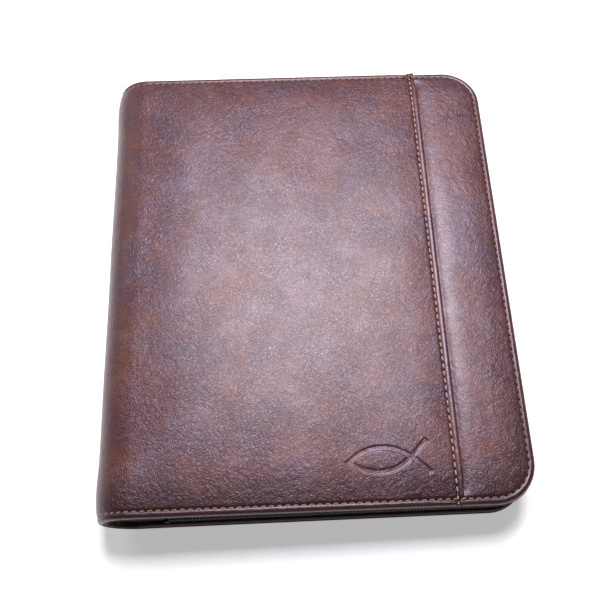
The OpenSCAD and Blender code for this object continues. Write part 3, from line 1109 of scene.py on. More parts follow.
def bend_at_upper_fold(piece: Piece) -> None:
    """Bakes a piece's placing into its points, for a piece over the spine's strip and the front.

    Args:
        piece: the piece.
    """
    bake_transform(piece)


def bend_at_lower_fold(piece: Piece) -> None:
    """Bakes a piece's placing into its points, for a piece over the back and the spine's strip.

    Args:
        piece: the piece.
    """
    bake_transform(piece)


@dataclass
class RingPanel:
    """Leather that runs from the spine side round the two corners, laid in rings from the rim in."""

    sizes: CaseSizes
    side_steps: int = 76
    leg_steps: int = 60
    corner_steps: int = 14
    least_r: float = 3 * MM

    def ring(self, inset: float, start_x: float) -> tuple[Array, Array, Array]:
        """One ring of the outline, from the foot's spine end round to the head's.

        Args:
            inset: how far in from the rim.
            start_x: where the ring starts and ends.

        Returns:
            X, Y and the direction out of the rim, as n by 2.
        """
        sizes = self.sizes
        r = max(sizes.corner_r - inset, min(self.least_r, sizes.half_h - inset))
        cx = sizes.half_w - inset - r
        cy = sizes.half_h - inset - r
        leg = np.linspace(start_x, cx, self.leg_steps)[:-1]
        turn = np.linspace(-math.pi / 2, 0, self.corner_steps)
        corner = np.stack([cx + r * np.cos(turn), -cy + r * np.sin(turn)], 1)
        side = np.linspace(-cy, cy, self.side_steps)[1:-1]
        half = np.concatenate([np.stack([leg, np.full(len(leg), inset - sizes.half_h)], 1), corner])
        corner_out = np.stack([np.cos(turn), np.sin(turn)], 1)
        out = np.concatenate([np.tile([0.0, -1.0], (len(leg), 1)), corner_out])
        free = np.stack([np.full(len(side), sizes.half_w - inset), side], 1)
        xy = np.concatenate([half, free, half[::-1] * [1, -1]])
        outward = np.concatenate([out, np.tile([1.0, 0.0], (len(side), 1)), out[::-1] * [1, -1]])
        return xy[:, 0], xy[:, 1], outward


@dataclass
class StripPanel(RingPanel):
    """The padded leather strip beyond the pocket's fold, which runs on under the main panel."""

    rim: Rim = Rim(fall=1.25 * MM, fall_width=15 * MM, crown=1.05 * MM)
    dresser: Dresser | None = None
    start: float = 51 * MM
    deepest: float = 46 * MM
    fold_dip: float = 1.5 * MM
    slack: float = 0.06 * MM

    def build(self, sizes: CaseSizes) -> Piece:
        """Makes the strip and lets it ride on the front.

        Args:
            sizes: the case's sizes.

        Returns:
            The piece.
        """
        flat_z = sizes.case_t - 1.2 * MM
        rolled_in, rolled_drop = self.rim.rolled()
        inner = spread([self.rim.roll_in, 7 * MM, self.deepest], [0.32 * MM, 1.3 * MM])[1:]
        insets = np.concatenate([rolled_in, inner])
        drops = np.concatenate([rolled_drop, self.rim.drop_at(inner)])
        rings, lies = [], []
        for inset, drop in zip(insets, drops):
            x, y, _ = self.ring(inset, self.start)
            hollow = self.fold_dip * np.exp(-np.clip(x - sizes.fold_x, 0, None) / (3.4 * MM))
            hollow = np.where(x < sizes.fold_x + 0.2 * MM, self.fold_dip, hollow)
            hollow *= smoothstep(inset, 1.0 * MM, 9 * MM)
            soft = self.slack * np.sin(x / (6 * MM) + 1.1) * np.sin(y / (15 * MM))
            soft *= smoothstep(inset, 5 * MM, 12 * MM)
            rings.append(np.stack([x, y, flat_z - drop - hollow + soft], 1))
            lies.append(np.stack([x / MM + 400, y / MM, np.full(len(x), drop / MM)], 1))
        points = sizes.slope(np.concatenate(rings))
        faces = grid_faces(len(insets), len(rings[0]))
        made = piece_from("pocket_strip_leather", points, faces, np.concatenate(lies))
        deep_in = np.repeat(insets, len(rings[0]))
        # Painted shade near the rim, most at the foot.
        painted_shade = painted_shade_at(deep_in, np.concatenate(rings)[:, 1])
        press(made, 1 - smoothstep(deep_in, 2.4 * MM, 4.2 * MM), painted_shade)
        self.dresser.dress(made, Finish.STRIP_HIDE, "cover_leather", "front")
        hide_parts("pocket_strip_panel")
        return made


@dataclass
class BackWrap(RingPanel):
    """The outer leather of the back, from the middle of the spine to the free edge."""

    rim: Rim = Rim(fall=0.5 * MM, shoulder=0.35 * MM, crown=0.0)
    dresser: Dresser | None = None

    def build(self, sizes: CaseSizes) -> Piece:
        """Makes the sheet, rolled over the rim.

        Args:
            sizes: the case's sizes.

        Returns:
            The piece.
        """
        section = Section.under_back(sizes, np.array([sizes.spine_x, sizes.spine_x]))
        arc, out, run = section.place[:-1], section.outward[:-1], section.run[:-1]
        rolled_in, rolled_drop = self.rim.rolled()
        inner = spread([self.rim.roll_in, 7 * MM, 30 * MM, sizes.half_h - 0.01 * MM],
                       [0.4 * MM, 2.5 * MM, 4.5 * MM])[1:]
        insets = np.concatenate([rolled_in, inner])
        drops = np.concatenate([rolled_drop, self.rim.drop_at(inner)])
        rings, lies = [], []
        for inset, drop in zip(insets, drops):
            x, y, _ = self.ring(inset, sizes.spine_x)
            flat = np.stack([x, y, np.full(len(x), drop)], 1)
            leg_y = sizes.half_h - inset
            leg = np.stack([arc[:-1, 0] - out[:-1, 0] * drop, np.full(len(arc) - 1, -leg_y),
                            arc[:-1, 1] - out[:-1, 1] * drop], 1)
            rings.append(np.concatenate([leg, flat, leg[::-1] * [1, -1, 1]]))
            leg_lie = np.stack([(run[:-1] - run[-1] + sizes.spine_x) / MM, leg[:, 1] / MM,
                                np.full(len(leg), drop / MM)], 1)
            flat_lie = np.stack([x / MM, y / MM, np.full(len(x), drop / MM)], 1)
            lies.append(np.concatenate([leg_lie, flat_lie, leg_lie[::-1] * [1, -1, 1]]) + [0, 0, 60])
        faces = grid_faces(len(insets), len(rings[0]), flip=True)
        made = piece_from("back_leather_wrap", np.concatenate(rings), faces, np.concatenate(lies))
        deep_in = np.repeat(insets, len(rings[0]))
        # Painted shade near the rim, most at the foot.
        painted_shade = painted_shade_at(deep_in, np.concatenate(rings)[:, 1])
        press(made, 1 - smoothstep(deep_in, 2.4 * MM, 4.2 * MM), painted_shade)
        self.dresser.dress(made, Finish.HIDE, "cover_leather")
        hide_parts("outer_wrap_back")
        bend_at_lower_fold(made)
        return made


# ---------------------------------------------------------------- stitching, binding and zip


@dataclass(frozen=True)
class RimLine:
    """The rim as one line, from the middle of the spine at the foot, round to the head.

    Every array has a row for each point: the place on the flat cover's rim, the directions out
    of the rim and into the case, how much of the front's slope it takes, and whether it is flat.
    """

    edge: Array
    out: Array
    inward: Array
    share: Array
    flat: Array

    @classmethod
    def around(cls, sizes: CaseSizes, up: float, strip_drop: float = 1.2 * MM) -> "RimLine":
        """Follows the rim of one cover.

        Args:
            sizes: the case's sizes.
            up: 1 for the front cover, -1 for the back.
            strip_drop: how far the front's strip panel lies below its main panel.

        Returns:
            The line, before the front cover's slope.
        """
        stops = spread([sizes.spine_x, sizes.fold_x, sizes.half_w - sizes.corner_r], [2.5 * MM, 2.0 * MM])
        section = Section.over_front(sizes, stops) if up > 0 else Section.under_back(sizes, stops)
        count = len(section.place)
        leg = np.stack([section.place[:, 0], np.full(count, -sizes.half_h), section.place[:, 1]], 1)
        leg_in = -np.stack([section.outward[:, 0], np.zeros(count), section.outward[:, 1]], 1)
        cx, cy = sizes.half_w - sizes.corner_r, sizes.half_h - sizes.corner_r
        turn = np.linspace(-math.pi / 2, 0, 19)[1:]
        level = np.full(len(turn), sizes.spine_r * (1 + up))
        corner_out = np.stack([np.cos(turn), np.sin(turn), np.zeros(len(turn))], 1)
        round_x, round_y = sizes.corner_r * np.cos(turn), sizes.corner_r * np.sin(turn)
        corner = np.stack([cx + round_x, -cy + round_y, level], 1)
        side_y = np.linspace(-cy, 0, 40)[1:]
        side = np.stack([np.full(len(side_y), sizes.half_w), side_y, np.full(len(side_y), level[0])], 1)
        half = np.concatenate([leg, corner, side])
        half_out = np.concatenate([np.tile([0.0, -1.0, 0.0], (count, 1)), corner_out,
                                   np.tile([1.0, 0.0, 0.0], (len(side), 1))])
        half_in = np.concatenate([leg_in, np.tile([0.0, 0.0, -up], (len(corner) + len(side), 1))])
        share = np.concatenate([section.share, np.ones(len(corner) + len(side))]) * (up > 0)
        if up > 0:
            half[half[:, 0] > sizes.fold_x, 2] -= strip_drop
        flat = smoothstep(half[:, 0], sizes.spine_x - 6 * MM, sizes.spine_x + 6 * MM)
        back = slice(-2, None, -1)
        mirror = np.array([1.0, -1.0, 1.0])
        return cls(np.concatenate([half, half[back] * mirror]),
                   np.concatenate([half_out, half_out[back] * mirror]),
                   np.concatenate([half_in, half_in[back]]), np.concatenate([share, share[back]]),
                   np.concatenate([flat, flat[back]]))

    def at(self, sizes: CaseSizes, inset: Array | float, drop: Array | float) -> Array:
        """Points at an inset from the rim and a drop into the case, sloped with the front.

        Args:
            sizes: the case's sizes.
            inset: distance in from the rim.
            drop: distance into the case.

        Returns:
            The points, one for each of the line's.
        """
        inset, drop = np.atleast_1d(inset)[:, None], np.atleast_1d(drop)[:, None]
        return sizes.slope(self.edge - inset * self.out + drop * self.inward, self.share)

    def stations(self, sizes: CaseSizes, inset: float, pitch: float) -> "RimLine":
        """The same line at equal steps along a given inset.

        Args:
            sizes: the case's sizes.
            inset: the inset that the steps are measured along.
            pitch: about how long each step is.

        Returns:
            The line, with one point for each step.
        """
        line = self.at(sizes, inset, 0.0)
        run = np.concatenate([[0.0], np.cumsum(np.linalg.norm(np.diff(line, axis=0), axis=1))])
        count = round(run[-1] / pitch)
        wanted = (np.arange(count) + 0.5) * run[-1] / count

        def along(values: Array) -> Array:
            """Values at the wanted steps.

            Args:
                values: one row for each point of the line.

            Returns:
                One row for each step.
            """
            flat = values.reshape(len(run), -1)
            found = np.stack([np.interp(wanted, run, flat[:, k]) for k in range(flat.shape[1])], 1)
            return found.reshape((count,) + values.shape[1:])

        out, inward = along(self.out), along(self.inward)
        out /= np.linalg.norm(out, axis=1, keepdims=True)
        inward /= np.linalg.norm(inward, axis=1, keepdims=True)
        return RimLine(along(self.edge), out, inward, along(self.share), along(self.flat))


@dataclass
class Stitching:
    """The saddle stitches round the rim and beside the fold, with near-black marks painted as the shade
    in their needle holes.
    """

    sizes: CaseSizes
    main_rim: Rim
    strip_rim: Rim
    back_rim: Rim
    dresser: Dresser
    length: float = 2.1 * MM
    width: float = 0.72 * MM
    height: float = 0.56 * MM
    slant: float = 9.0
    first: float = 3.9 * MM
    seed: int = 7

    def lay(self, name: str, centres: Array, along: Array, up: Array, thread: Finish,
            *nodes: str) -> list[Piece]:
        """Lays one row of stitches and, between them, near-black marks painted as the shade in the needle
        holes.

        Args:
            name: the row's name.
            centres: n by 3 places on the leather.
            along: n by 3 directions of the row.
            up: n by 3 directions out of the leather.
            thread: the thread's finish.
            nodes: the nodes that the row stands for.

        Returns:
            The stitches and the painted hole shade.
        """
        rng = np.random.default_rng(self.seed)
        side = np.cross(up, along)
        tilt = np.radians(self.slant + rng.normal(0, 2.0, len(centres)))[:, None]
        slanted = along * np.cos(tilt) + side * np.sin(tilt)
        moved = centres + side * rng.normal(0, 0.05 * MM, len(centres))[:, None] - up * 0.03 * MM
        shape = capsule(self.length, self.width, self.height, bow=0.12 * MM)
        stitches = copies(name, shape, moved, slanted, up, 2.3)
        self.dresser.dress(stitches, thread, "thread")
        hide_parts(*nodes)
        # Painted shade: a near-black mark at each needle hole stands for the shade inside it.
        between = (centres[1:] + centres[:-1]) / 2
        near = np.linalg.norm(np.diff(centres, axis=0), axis=1) < 1.6 * self.sizes.stitch_pitch
        hole = capsule(1.05 * MM, 0.95 * MM, 0.34 * MM)
        hole_up = up[1:][near]
        sunk = between[near] - hole_up * 0.02 * MM
        hole_shades = copies(name + "_holes", hole, sunk, along[1:][near], hole_up)
        self.dresser.dress(hole_shades, Finish.HOLE_SHADE, "thread")
        return [stitches, hole_shades]

    def round_rim(self, name: str, up: float, *nodes: str) -> list[Piece]:
        """Stitches one cover's rim, over the spine too.

        Args:
            name: the row's name.
            up: 1 for the front cover, -1 for the back.
            nodes: the nodes that the row stands for.

        Returns:
            The stitches and the painted hole shade.
        """
        sizes = self.sizes
        line = RimLine.around(sizes, up).stations(sizes, sizes.stitch_inset, sizes.stitch_pitch)
        if up > 0:
            strip = line.edge[:, 0] > sizes.fold_x
            main_drop = self.main_rim.drop_at(sizes.stitch_inset)
            drop = np.where(strip, self.strip_rim.drop_at(sizes.stitch_inset), main_drop)
        else:
            drop = np.full(len(line.edge), self.back_rim.drop_at(sizes.stitch_inset))
        centres = line.at(sizes, sizes.stitch_inset, drop)
        outward = np.where((line.share > 0.5)[:, None], sizes.turn(-line.inward), -line.inward)
        along = np.gradient(centres, axis=0)
        along -= outward * np.sum(along * outward, 1, keepdims=True)
        along /= np.linalg.norm(along, axis=1, keepdims=True)
        return self.lay(name, centres, along, outward, Finish.EDGE_THREAD, *nodes)

    def beside_fold(self, wrap: FrontWrap) -> list[Piece]:
        """Stitches the row beside the pocket's fold, on over the rims.

        Args:
            wrap: the leather that it is sewn through.

        Returns:
            The stitches and the painted hole shade.
        """
        sizes = self.sizes
        rolled_in, rolled_drop = self.main_rim.rolled(60)
        keep = rolled_in > 0
        inner = np.linspace(self.main_rim.roll_in, sizes.half_h, 900)[1:]
        x = np.full(len(inner), wrap.topstitch_x)
        rise = wrap.lift(x, inner - sizes.half_h, inner)
        inset = np.concatenate([rolled_in[keep], inner])
        height = np.concatenate([-rolled_drop[keep] - wrap.topstitch_dip, rise])
        y = np.concatenate([inset - sizes.half_h, (sizes.half_h - inset)[-2::-1]])
        z = sizes.case_t + np.concatenate([height, height[-2::-1]])
        run = np.concatenate([[0.0], np.cumsum(np.hypot(np.diff(y), np.diff(z)))])
        count = round((run[-1] - 2 * self.first) / sizes.stitch_pitch)
        wanted = np.linspace(self.first, run[-1] - self.first, count)
        row_x = np.full(count, wrap.topstitch_x)
        row = np.stack([row_x, np.interp(wanted, run, y), np.interp(wanted, run, z)], 1)
        along = np.gradient(row, axis=0)
        along /= np.linalg.norm(along, axis=1, keepdims=True)
        up = np.stack([np.zeros(count), -along[:, 2], along[:, 1]], 1)
        return self.lay("fold_stitches", sizes.slope(row), sizes.turn(along), sizes.turn(up),
                        Finish.TOP_THREAD, "fold_topstitching")

    def build(self, wrap: FrontWrap) -> None:
        """Lays every row; the row beside the fold rides on the front.

        Args:
            wrap: the leather that the fold's row is sewn through.
        """
        for piece in self.round_rim("front_rim_stitches", 1.0, "front_edge_stitching"):
            bend_at_upper_fold(piece)
        for piece in self.round_rim("back_rim_stitches", -1.0, "back_edge_stitching"):
            bend_at_lower_fold(piece)
        for piece in self.beside_fold(wrap):
            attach(piece, "front")


@dataclass
class Binding:
    """The waxed piping under each rolled rim, and the strip that joins the cover to the zip."""

    sizes: CaseSizes
    dresser: Dresser
    start: float = 3.3 * MM
    deep: float = 3.9 * MM
    piping_r: float = 0.34 * MM

    def build(self, up: float, label: str) -> list[Piece]:
        """Makes one cover's piping and strip.

        Args:
            up: 1 for the front cover, -1 for the back.
            label: the cover's name.

        Returns:
            The two pieces.
        """
        sizes = self.sizes
        line = RimLine.around(sizes, up)
        shift = self.start + (0.4 * MM if up > 0 else 0.0)
        piping = line.at(sizes, 0.12 * MM, shift - 0.25 * MM)
        out = sizes.turn(line.out) if up > 0 else line.out
        cord_edge = tube_along(label + "_rim_piping", piping, out, line.inward,
                               self.piping_r, self.piping_r)
        self.dresser.dress(cord_edge, Finish.PIPING, "lining")
        depth = self.deep * (0.4 + 0.6 * line.flat)
        rows = []
        for t in np.linspace(0, 1, 9):
            bulge = 0.25 * MM + 0.75 * MM * (2 * t - 1) ** 4
            rows.append(line.at(sizes, bulge, shift + t * depth))
        rows.append(line.at(sizes, 2.9 * MM, shift + depth + 0.1 * MM))
        run = np.arange(len(line.edge)) * 2.2
        lie = np.stack(np.broadcast_arrays(run[None, :], np.arange(len(rows))[:, None] * 0.5, 20.0), -1)
        faces = grid_faces(len(rows), len(run), flip=up > 0)
        strip = piece_from(label + "_rim_binding", np.concatenate(rows), faces, lie.reshape(-1, 3))
        self.dresser.dress(strip, Finish.BINDING, "lining")
        return [cord_edge, strip]


@dataclass
class ZipCoil:
    """The two rows of the nylon coil, meshed in the closed zip."""

    sizes: CaseSizes
    dresser: Dresser
    pitch: float = 1.5 * MM
    inset: float = 1.65 * MM
    tall: float = 3.3 * MM
    reach: float = 1.2 * MM

    def build(self) -> list[Piece]:
        """Makes both rows of teeth, each riding on its cover.

        Returns:
            The front and the back row.
        """
        low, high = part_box("back_zip_teeth")
        middle = (high[2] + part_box("front_zip_teeth")[0][2]) / 2
        made = []
        for body, side, start in (("front", 1.0, 0.0), ("back", -1.0, 0.5)):
            line = RimLine.around(self.sizes, -1.0).stations(self.sizes, self.inset, self.pitch / 2)
            line_x = line.edge[:, 0]
            keep = (line_x > low[0]) & (np.abs(line.flat) > 0.5)
            centres = (line.edge - self.inset * line.out)[keep][int(2 * start)::2]
            outward = line.out[keep][int(2 * start)::2]
            centres[:, 2] = middle + side * self.reach
            tooth = capsule(self.tall, 0.98 * MM, 1.5 * MM)
            upright = np.tile([0.0, 0.0, 1.0], (len(centres), 1))
            row = copies(body + "_coil", tooth, centres, upright, outward)
            self.dresser.dress(row, Finish.COIL, "zip_coil", body)
            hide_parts(body + "_zip_teeth")
            made.append(row)
        return made


# ---------------------------------------------------------------- carried-over nodes


@dataclass
class CarriedOver:
    """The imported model's own nodes that stay: layers, zip, slider and book, given their finishes."""

    dresser: Dresser
    edge_r: float = 0.28 * MM

    def build(self) -> None:
        """Finishes every node that stays, and eases the edges of the hard ones."""
        stretches = ("foot", "foot_corner", "side", "head_corner", "head")
        tapes = ["front_zip_tape"] + ["back_tape_" + stretch for stretch in stretches]
        self.dresser.redress(Finish.TAPE, *tapes)
        self.dresser.redress(Finish.FOAM, "front_padding", "back_padding", "spine_padding")
        self.dresser.redress(Finish.BOARD, "front_board", "back_board", "spine_strip")
        self.dresser.redress(Finish.LINING, "pocket_front_lining", "pocket_back_lining",
                             "front_sleeve", "back_sleeve")
        metal = ("slider_body", "pull_pin", "pull_tab", "zip_end_stop")
        self.dresser.redress(Finish.BRASS, *metal)
        # Painted shade: the start stop takes the coil's near-black finish instead of brass, to stand for
        # the shade under the rim.
        self.dresser.redress(Finish.COIL, "zip_start_stop")
        self.dresser.redress(Finish.PAPER, "front_endpaper", "back_endpaper", "flyleaf")
        self.dresser.redress(Finish.HEADBAND, "headbands")
        for name in metal[:1] + metal[2:]:
            self.ease(name, self.edge_r)
        for name in ("front_sleeve", "back_sleeve", "headbands"):
            self.ease(name, 0.15 * MM)

    @staticmethod
    def ease(name: str, radius: float) -> None:
        """Rounds the sharp edges of a node.

        Args:
            name: the node's name.
            radius: the edges' radius.
        """
        bevel = frame["nodes"][name].modifiers.new("eased_edges", "BEVEL")
        bevel.width = radius
        bevel.segments = 3
        bevel.limit_method = "ANGLE"
        bevel.harden_normals = False


# ---------------------------------------------------------------- lining and book


def rounded_plate(name: str, low: Array, high: Array, corner: float, ease: float) -> Piece:
    """A flat plate with round corners and eased edges, with a ring of faces near each edge.

    Args:
        name: the piece's name.
        low: its lowest corner.
        high: its highest corner.
        corner: radius of its corners, seen from above.
        ease: radius of its edges.

    Returns:
        The new object.
    """
    turns = np.radians(np.linspace(-90, 90, 7))
    steps = [(ease + 4 * MM, low[2])]
    steps += [(ease - ease * math.cos(t), (low[2] + high[2]) / 2 + math.sin(t) * (high[2] - low[2]) / 2)
              for t in turns]
    steps.append((ease + 4 * MM, high[2]))
    rings = []
    for inset, z in steps:
        flat = rounded_outline(low, high, corner, inset)
        rings.append(np.concatenate([flat, np.full((len(flat), 1), z)], 1))
    count = len(rings[0])
    faces = grid_faces(len(rings), count, closed=True)
    last = (len(rings) - 1) * count
    faces.append(list(range(count))[::-1])
    faces.append([last + k for k in range(count)])
    return piece_from(name, np.concatenate(rings), faces)


def rounded_outline(low: Array, high: Array, corner: float, inset: float, square: bool = False) -> Array:
    """Points round a rectangle with round corners, in order.

    Args:
        low: its lowest corner.
        high: its highest corner.
        corner: radius of the corners.
        inset: how far in the outline lies.
        square: leaves the two corners at the spine side square.

    Returns:
        n by 2 points.
    """
    points = []
    for k, (sx, sy) in enumerate(((1, -1), (1, 1), (-1, 1), (-1, -1))):
        full = 0.05 * MM if square and sx < 0 else corner
        r = max(full - inset, 0.02 * MM)
        cx = (high[0] if sx > 0 else low[0]) - sx * (inset + r)
        cy = (high[1] if sy > 0 else low[1]) - sy * (inset + r)
        turn = np.radians(np.linspace(-90, 0, 8) + 90 * k)
        points.append(np.stack([cx + r * np.cos(turn), cy + r * np.sin(turn)], 1))
    return np.concatenate(points)


@dataclass
class Linings(RingPanel):
    """The inner lining: one sheet over the back and one over the front, meeting inside the spine."""

    dresser: Dresser | None = None
    edge_in: float = 1.4 * MM
    back_r: float = 13.3 * MM
    front_r: float = 12.1 * MM
    slack: float = 0.9 * MM

    def build(self) -> list:
        """Makes both sheets.

        Returns:
            The two sheets.
        """
        back = self.sheet("back_lining_sheet", -1.0)
        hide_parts("back_lining")
        bend_at_lower_fold(back)
        front = self.sheet("front_lining_sheet", 1.0)
        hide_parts("front_lining", "spine_lining")
        bend_at_upper_fold(front)
        return [back, front]

    def sheet(self, name: str, up: float) -> Piece:
        """Makes one sheet, from the middle of the spine to the free edge.

        Args:
            name: the sheet's name.
            up: 1 for the front, -1 for the back.

        Returns:
            The sheet, dressed.
        """
        sizes = self.sizes
        turn = np.radians(np.linspace(180, 180 - up * 90, 40))[:-1]
        ends = (self.back_r, self.front_r if up > 0 else self.back_r)
        radius = ends[0] + (ends[1] - ends[0]) * smoothstep(np.abs(turn - math.pi), 0.0, math.pi / 2)
        off_middle = math.asin((sizes.upper_fold[1] - sizes.spine_r) / sizes.spine_r)
        at_fold = np.abs(turn - math.pi) - off_middle
        radius = radius - self.slack * np.exp(-(at_fold / 0.2) ** 2)
        arc_x = sizes.spine_x + radius * np.cos(turn)
        arc_z = sizes.spine_r + radius * np.sin(turn)
        flat_z = sizes.spine_r + up * ends[1]
        insets = spread([self.edge_in, 10 * MM, sizes.half_h - 0.01 * MM], [0.7 * MM, 6 * MM])
        fold = math.pi - off_middle
        rings, lies, shares = [], [], []
        for inset in insets:
            x, y, _ = self.ring(inset, sizes.spine_x)
            pucker = 0.10 * MM * np.sin(x / (4.1 * MM)) * np.sin(y / (3.3 * MM)) * (inset < 9 * MM)
            flat = np.stack([x, y, flat_z + up * np.abs(pucker)], 1)
            leg = np.stack([arc_x, np.full(len(arc_x), inset - sizes.half_h), arc_z], 1)
            rings.append(np.concatenate([leg, flat, leg[::-1] * [1, -1, 1]]))
            run = sizes.spine_x - (math.pi / 2 - np.abs(turn - math.pi)) * radius
            leg_lie = np.stack([run, leg[:, 1], 0 * run], 1)
            flat_lie = np.stack([x, y, 0 * x], 1)
            lies.append(np.concatenate([leg_lie, flat_lie, leg_lie[::-1] * [1, -1, 1]]) / MM)
            leg_share = 1 - smoothstep(turn, fold - 0.09, fold + 0.09)
            shares.append(np.concatenate([leg_share, np.ones(len(x)), leg_share[::-1]]))
        points = np.concatenate(rings)
        if up > 0:
            points = sizes.slope(points, np.concatenate(shares))
        faces = grid_faces(len(insets), len(rings[0]), flip=up > 0)
        made = piece_from(name, points, faces, np.concatenate(lies))
        return self.dresser.dress(made, Finish.LINING, "lining")


@dataclass
class Book:
    """The Bible inside: two stiff covers, a leather spine and the leaves with gilt edges."""

    sizes: CaseSizes
    dresser: Dresser
    corner: float = 5 * MM
    front_drop: float = 5.5 * MM
    bow: float = 1.3 * MM
    leaf_rings: int = 46
    seed: int = 11

    def build(self) -> list:
        """Makes the covers, the spine and the leaves.

        Returns:
            The pieces.
        """
        low, high = (np.array(corner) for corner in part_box("book_back_cover"))
        back = rounded_plate("bible_back_cover", low, high, self.corner, 0.6 * MM)
        press(back, np.zeros(len(back.data.vertices)))
        self.dresser.dress(back, Finish.BOOK, "book_leather", "back")
        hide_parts("book_back_cover")
        thick = high[2] - low[2]
        top = self.sizes.case_t - self.front_drop
        low[2], high[2] = top - thick, top
        front = rounded_plate("bible_front_cover", low, high, self.corner, 0.6 * MM)
        self.settle(front)
        self.dresser.dress(front, Finish.BOOK, "book_leather", "front")
        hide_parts("book_front_cover")
        return [back, front, self.spine(), self.leaves()]

    def settle(self, piece: Piece) -> None:
        """Slopes a piece of the front down with the front cover.

        Args:
            piece: the piece, before the slope.
        """
        count = len(piece.data.vertices)
        points = np.empty(count * 3)
        piece.data.vertices.foreach_get("co", points)
        sloped = self.sizes.slope(points.reshape(-1, 3))
        piece.data.vertices.foreach_set("co", sloped.ravel())
        press(piece, np.zeros(count))
        piece.data.update()

    def spine(self) -> Piece:
        """Makes the bowed leather spine, as a closed shell.

        Returns:
            The piece.
        """
        low, high = (np.array(corner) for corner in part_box("book_spine"))
        share = np.linspace(0, 1, 19)
        z = low[2] + (high[2] - low[2]) * share
        out = low[0] - self.bow * np.sin(math.pi * share) ** 0.8
        path = np.concatenate([np.stack([out, z], 1), np.stack([np.full(19, high[0]), z[::-1]], 1)])
        y = spread([low[1], low[1] + 2 * MM, high[1] - 2 * MM, high[1]], [0.5 * MM, 4 * MM, 0.5 * MM])
        end = np.minimum(y - low[1], high[1] - y)
        tuck = 0.35 * MM * (1 - smoothstep(end, 0, 1.2 * MM))
        mid = path.mean(axis=0)
        rings = []
        for place, t in zip(y, tuck):
            x = mid[0] + (path[:, 0] - mid[0]) * (1 - t / (1.2 * MM))
            rings.append(np.stack([x, np.full(len(path), place), path[:, 1]], 1))
        count = len(path)
        faces = grid_faces(len(rings), count, closed=True)
        last = (len(rings) - 1) * count
        faces.append(list(range(count))[::-1])
        faces.append([last + k for k in range(count)])
        made = piece_from("bible_spine", np.concatenate(rings), faces)
        press(made, np.zeros(len(made.data.vertices)))
        self.dresser.dress(made, Finish.BOOK, "book_leather", "back")
        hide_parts("book_spine")
        return made

    def leaves(self) -> Piece:
        """Makes the block of leaves, its edges slightly uneven and its fore-edge hollow.

        Returns:
            The piece.
        """
        sizes = self.sizes
        low, high = (np.array(corner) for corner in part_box("page_block"))
        run = high[0] - sizes.upper_fold[0]
        end_z = high[2] - (run - (low[0] - sizes.upper_fold[0])) * math.tan(sizes.tilt)
        rng = np.random.default_rng(self.seed)
        rings = []
        for share in np.linspace(0, 1, self.leaf_rings):
            uneven = float(rng.uniform(0.0, 0.10)) * MM
            flat = rounded_outline(low, high, self.corner, uneven, square=True)
            hollow = 0.9 * MM * math.sin(math.pi * share)
            pull = smoothstep(flat[:, 0], high[0] - 12 * MM, high[0])
            x = flat[:, 0] - hollow * pull
            top = high[2] + (end_z - high[2]) * (flat[:, 0] - low[0]) / (high[0] - low[0])
            rings.append(np.stack([x, flat[:, 1], low[2] + (top - low[2]) * share], 1))
        count = len(rings[0])
        faces = grid_faces(len(rings), count, closed=True)
        last = (len(rings) - 1) * count
        faces.append(list(range(count))[::-1])
        faces.append([last + k for k in range(count)])
        made = piece_from("bible_leaves", np.concatenate(rings), faces)
        self.dresser.dress(made, Finish.LEAVES, "leaves", "back")
        made.data.materials.append(self.dresser.material(Finish.PAPER, Lay.CUT))
        for face in list(made.data.polygons)[-2:]:
            face.material_index = 1
            face.use_smooth = False
        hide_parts("page_block")
        return made


# ---------------------------------------------------------------- studio


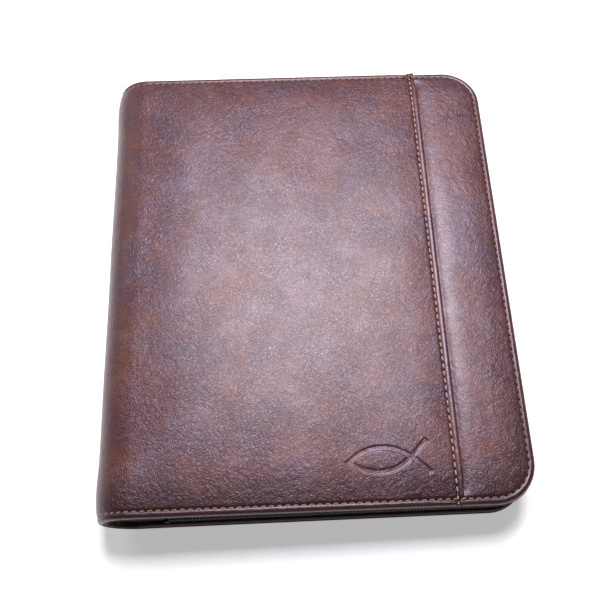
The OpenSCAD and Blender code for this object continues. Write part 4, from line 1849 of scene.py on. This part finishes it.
@dataclass(frozen=True)
class Studio:
    """Pale floor, a soft box beyond the head of the case, a weaker one to its left, and the camera."""

    camera_at: tuple = (-0.0003, -0.1691, 0.3842)
    looks_along: tuple = (-0.0068, 0.3956, -0.9184)
    camera_up: tuple = (0.0473, 0.9175, 0.3949)
    lens: float = 48.0
    box_along: tuple = (0.06, 0.40, 0.915)
    box_far: float = 0.95
    box_size: float = 0.36
    box_power: float = 13.2
    fill_power: float = 1.3
    key_tint: tuple = (0.96, 0.93, 1.0)
    fill_along: tuple = (-0.68, 0.50, 0.52)
    fill_far: float = 0.9
    fill_size: float = 0.45
    fill_tint: tuple = (1.0, 0.90, 0.80)
    floor_half: float = 3.0
    floor_gap: float = 0.2 * MM

    def build(self) -> None:
        """Sets up the camera, the floor, the lights and the surroundings."""
        self.camera()
        self.floor()
        self.soft_box("key_box", self.box_along, self.box_far, self.box_size, self.box_power,
                      self.key_tint)
        self.soft_box("left_fill", self.fill_along, self.fill_far, self.fill_size, self.fill_power,
                      self.fill_tint)
        self.surroundings()

    def camera(self) -> None:
        """Makes the camera, without depth of field or shift."""
        back = -np.array(self.looks_along) / np.linalg.norm(self.looks_along)
        up = np.array(self.camera_up)
        up = up - back * float(up @ back)
        up /= np.linalg.norm(up)
        right = np.cross(up, back)
        data = bpy.data.cameras.new("camera")
        data.lens = self.lens
        data.sensor_width = 36.0
        data.clip_start = 0.01
        made = bpy.data.objects.new("camera", data)
        bpy.context.scene.collection.objects.link(made)
        made.matrix_world = self.facing(right, up, back, np.array(self.camera_at))
        bpy.context.scene.camera = made

    def floor(self) -> None:
        """Makes the pale floor."""
        corners = self.floor_half * np.array([[-1, -1, 0], [1, -1, 0], [1, 1, 0], [-1, 1, 0]])
        floor = piece_from("floor", corners - [0, 0, self.floor_gap], [[0, 1, 2, 3]])
        r = Recipe("floor_white", Lay.SOLID)
        r.set(Base_Color=rgb(0.88, 0.88, 0.88), Roughness=0.9, Specular_IOR_Level=0.1,
              Emission_Color=rgb(1, 1, 1), Emission_Strength=0.42)
        floor.data.materials.append(r.material)

    def soft_box(self, name: str, along: tuple, far: float, size: float, power: float,
                 tint: tuple) -> None:
        """Hangs one square light that faces the case.

        Args:
            name: the light's name.
            along: the direction from the case to the light.
            far: its distance.
            size: its side.
            power: its power in watts.
            tint: its colour.
        """
        data = bpy.data.lights.new(name, "AREA")
        data.shape = "SQUARE"
        data.size = size
        data.energy = power
        data.color = tint
        made = bpy.data.objects.new(name, data)
        back = np.array(along) / np.linalg.norm(along)
        right = np.cross([0.0, 1.0, 0.0], back)
        right /= np.linalg.norm(right)
        at = np.array([0.0, -0.02, 0.02]) + far * back
        made.matrix_world = self.facing(right, np.cross(back, right), back, at)
        bpy.context.scene.collection.objects.link(made)

    @staticmethod
    def facing(right: Array, up: Array, back: Array, at: Array) -> Matrix:
        """The placing of an object whose axes and position are given."""
        return Matrix(np.column_stack([right, up, back, at]).tolist()).to_4x4()

    def surroundings(self) -> None:
        """Pale walls near the floor under a dimmer ceiling."""
        world = bpy.data.worlds.new("studio")
        bpy.context.scene.world = world
        world.use_nodes = True
        tree = world.node_tree
        place = tree.nodes.new("ShaderNodeTexCoord")
        parts = tree.nodes.new("ShaderNodeSeparateXYZ")
        ramp = tree.nodes.new("ShaderNodeValToRGB")
        tree.links.new(place.outputs["Generated"], parts.inputs[0])
        tree.links.new(parts.outputs[2], ramp.inputs[0])
        tree.links.new(ramp.outputs[0], tree.nodes["Background"].inputs[0])
        walls, ceiling = ramp.color_ramp.elements
        walls.position, walls.color = 0.10, rgb(0.24, 0.235, 0.24)
        ceiling.position, ceiling.color = 0.55, rgb(0.045, 0.045, 0.05)
        bpy.context.scene.view_settings.view_transform = "Standard"


def main() -> None:
    """Builds the case and the book in order, and reports each piece."""
    logging.basicConfig(level=logging.INFO, format="%(name)s: %(message)s")
    sizes = CaseSizes.from_frame()
    LOG.info("sizes %s", sizes)
    dresser = Dresser()
    Studio().build()
    wrap = FrontWrap(sizes, Rim(), dresser)
    strip = StripPanel(sizes, dresser=dresser)
    back = BackWrap(sizes, dresser=dresser)
    for leather in (wrap.build(), strip.build(sizes), back.build(sizes)):
        LOG.info("leather %s", leather.name)
    Stitching(sizes, wrap.rim, strip.rim, back.rim, dresser).build(wrap)
    binding = Binding(sizes, dresser)
    for piece in binding.build(1.0, "front"):
        bend_at_upper_fold(piece)
    for piece in binding.build(-1.0, "back"):
        bend_at_lower_fold(piece)
    ZipCoil(sizes, dresser).build()
    for piece in Linings(sizes, dresser=dresser).build() + Book(sizes, dresser).build():
        LOG.info("inside %s", piece.name)
    CarriedOver(dresser).build()


if __name__ == "__main__":
    main()
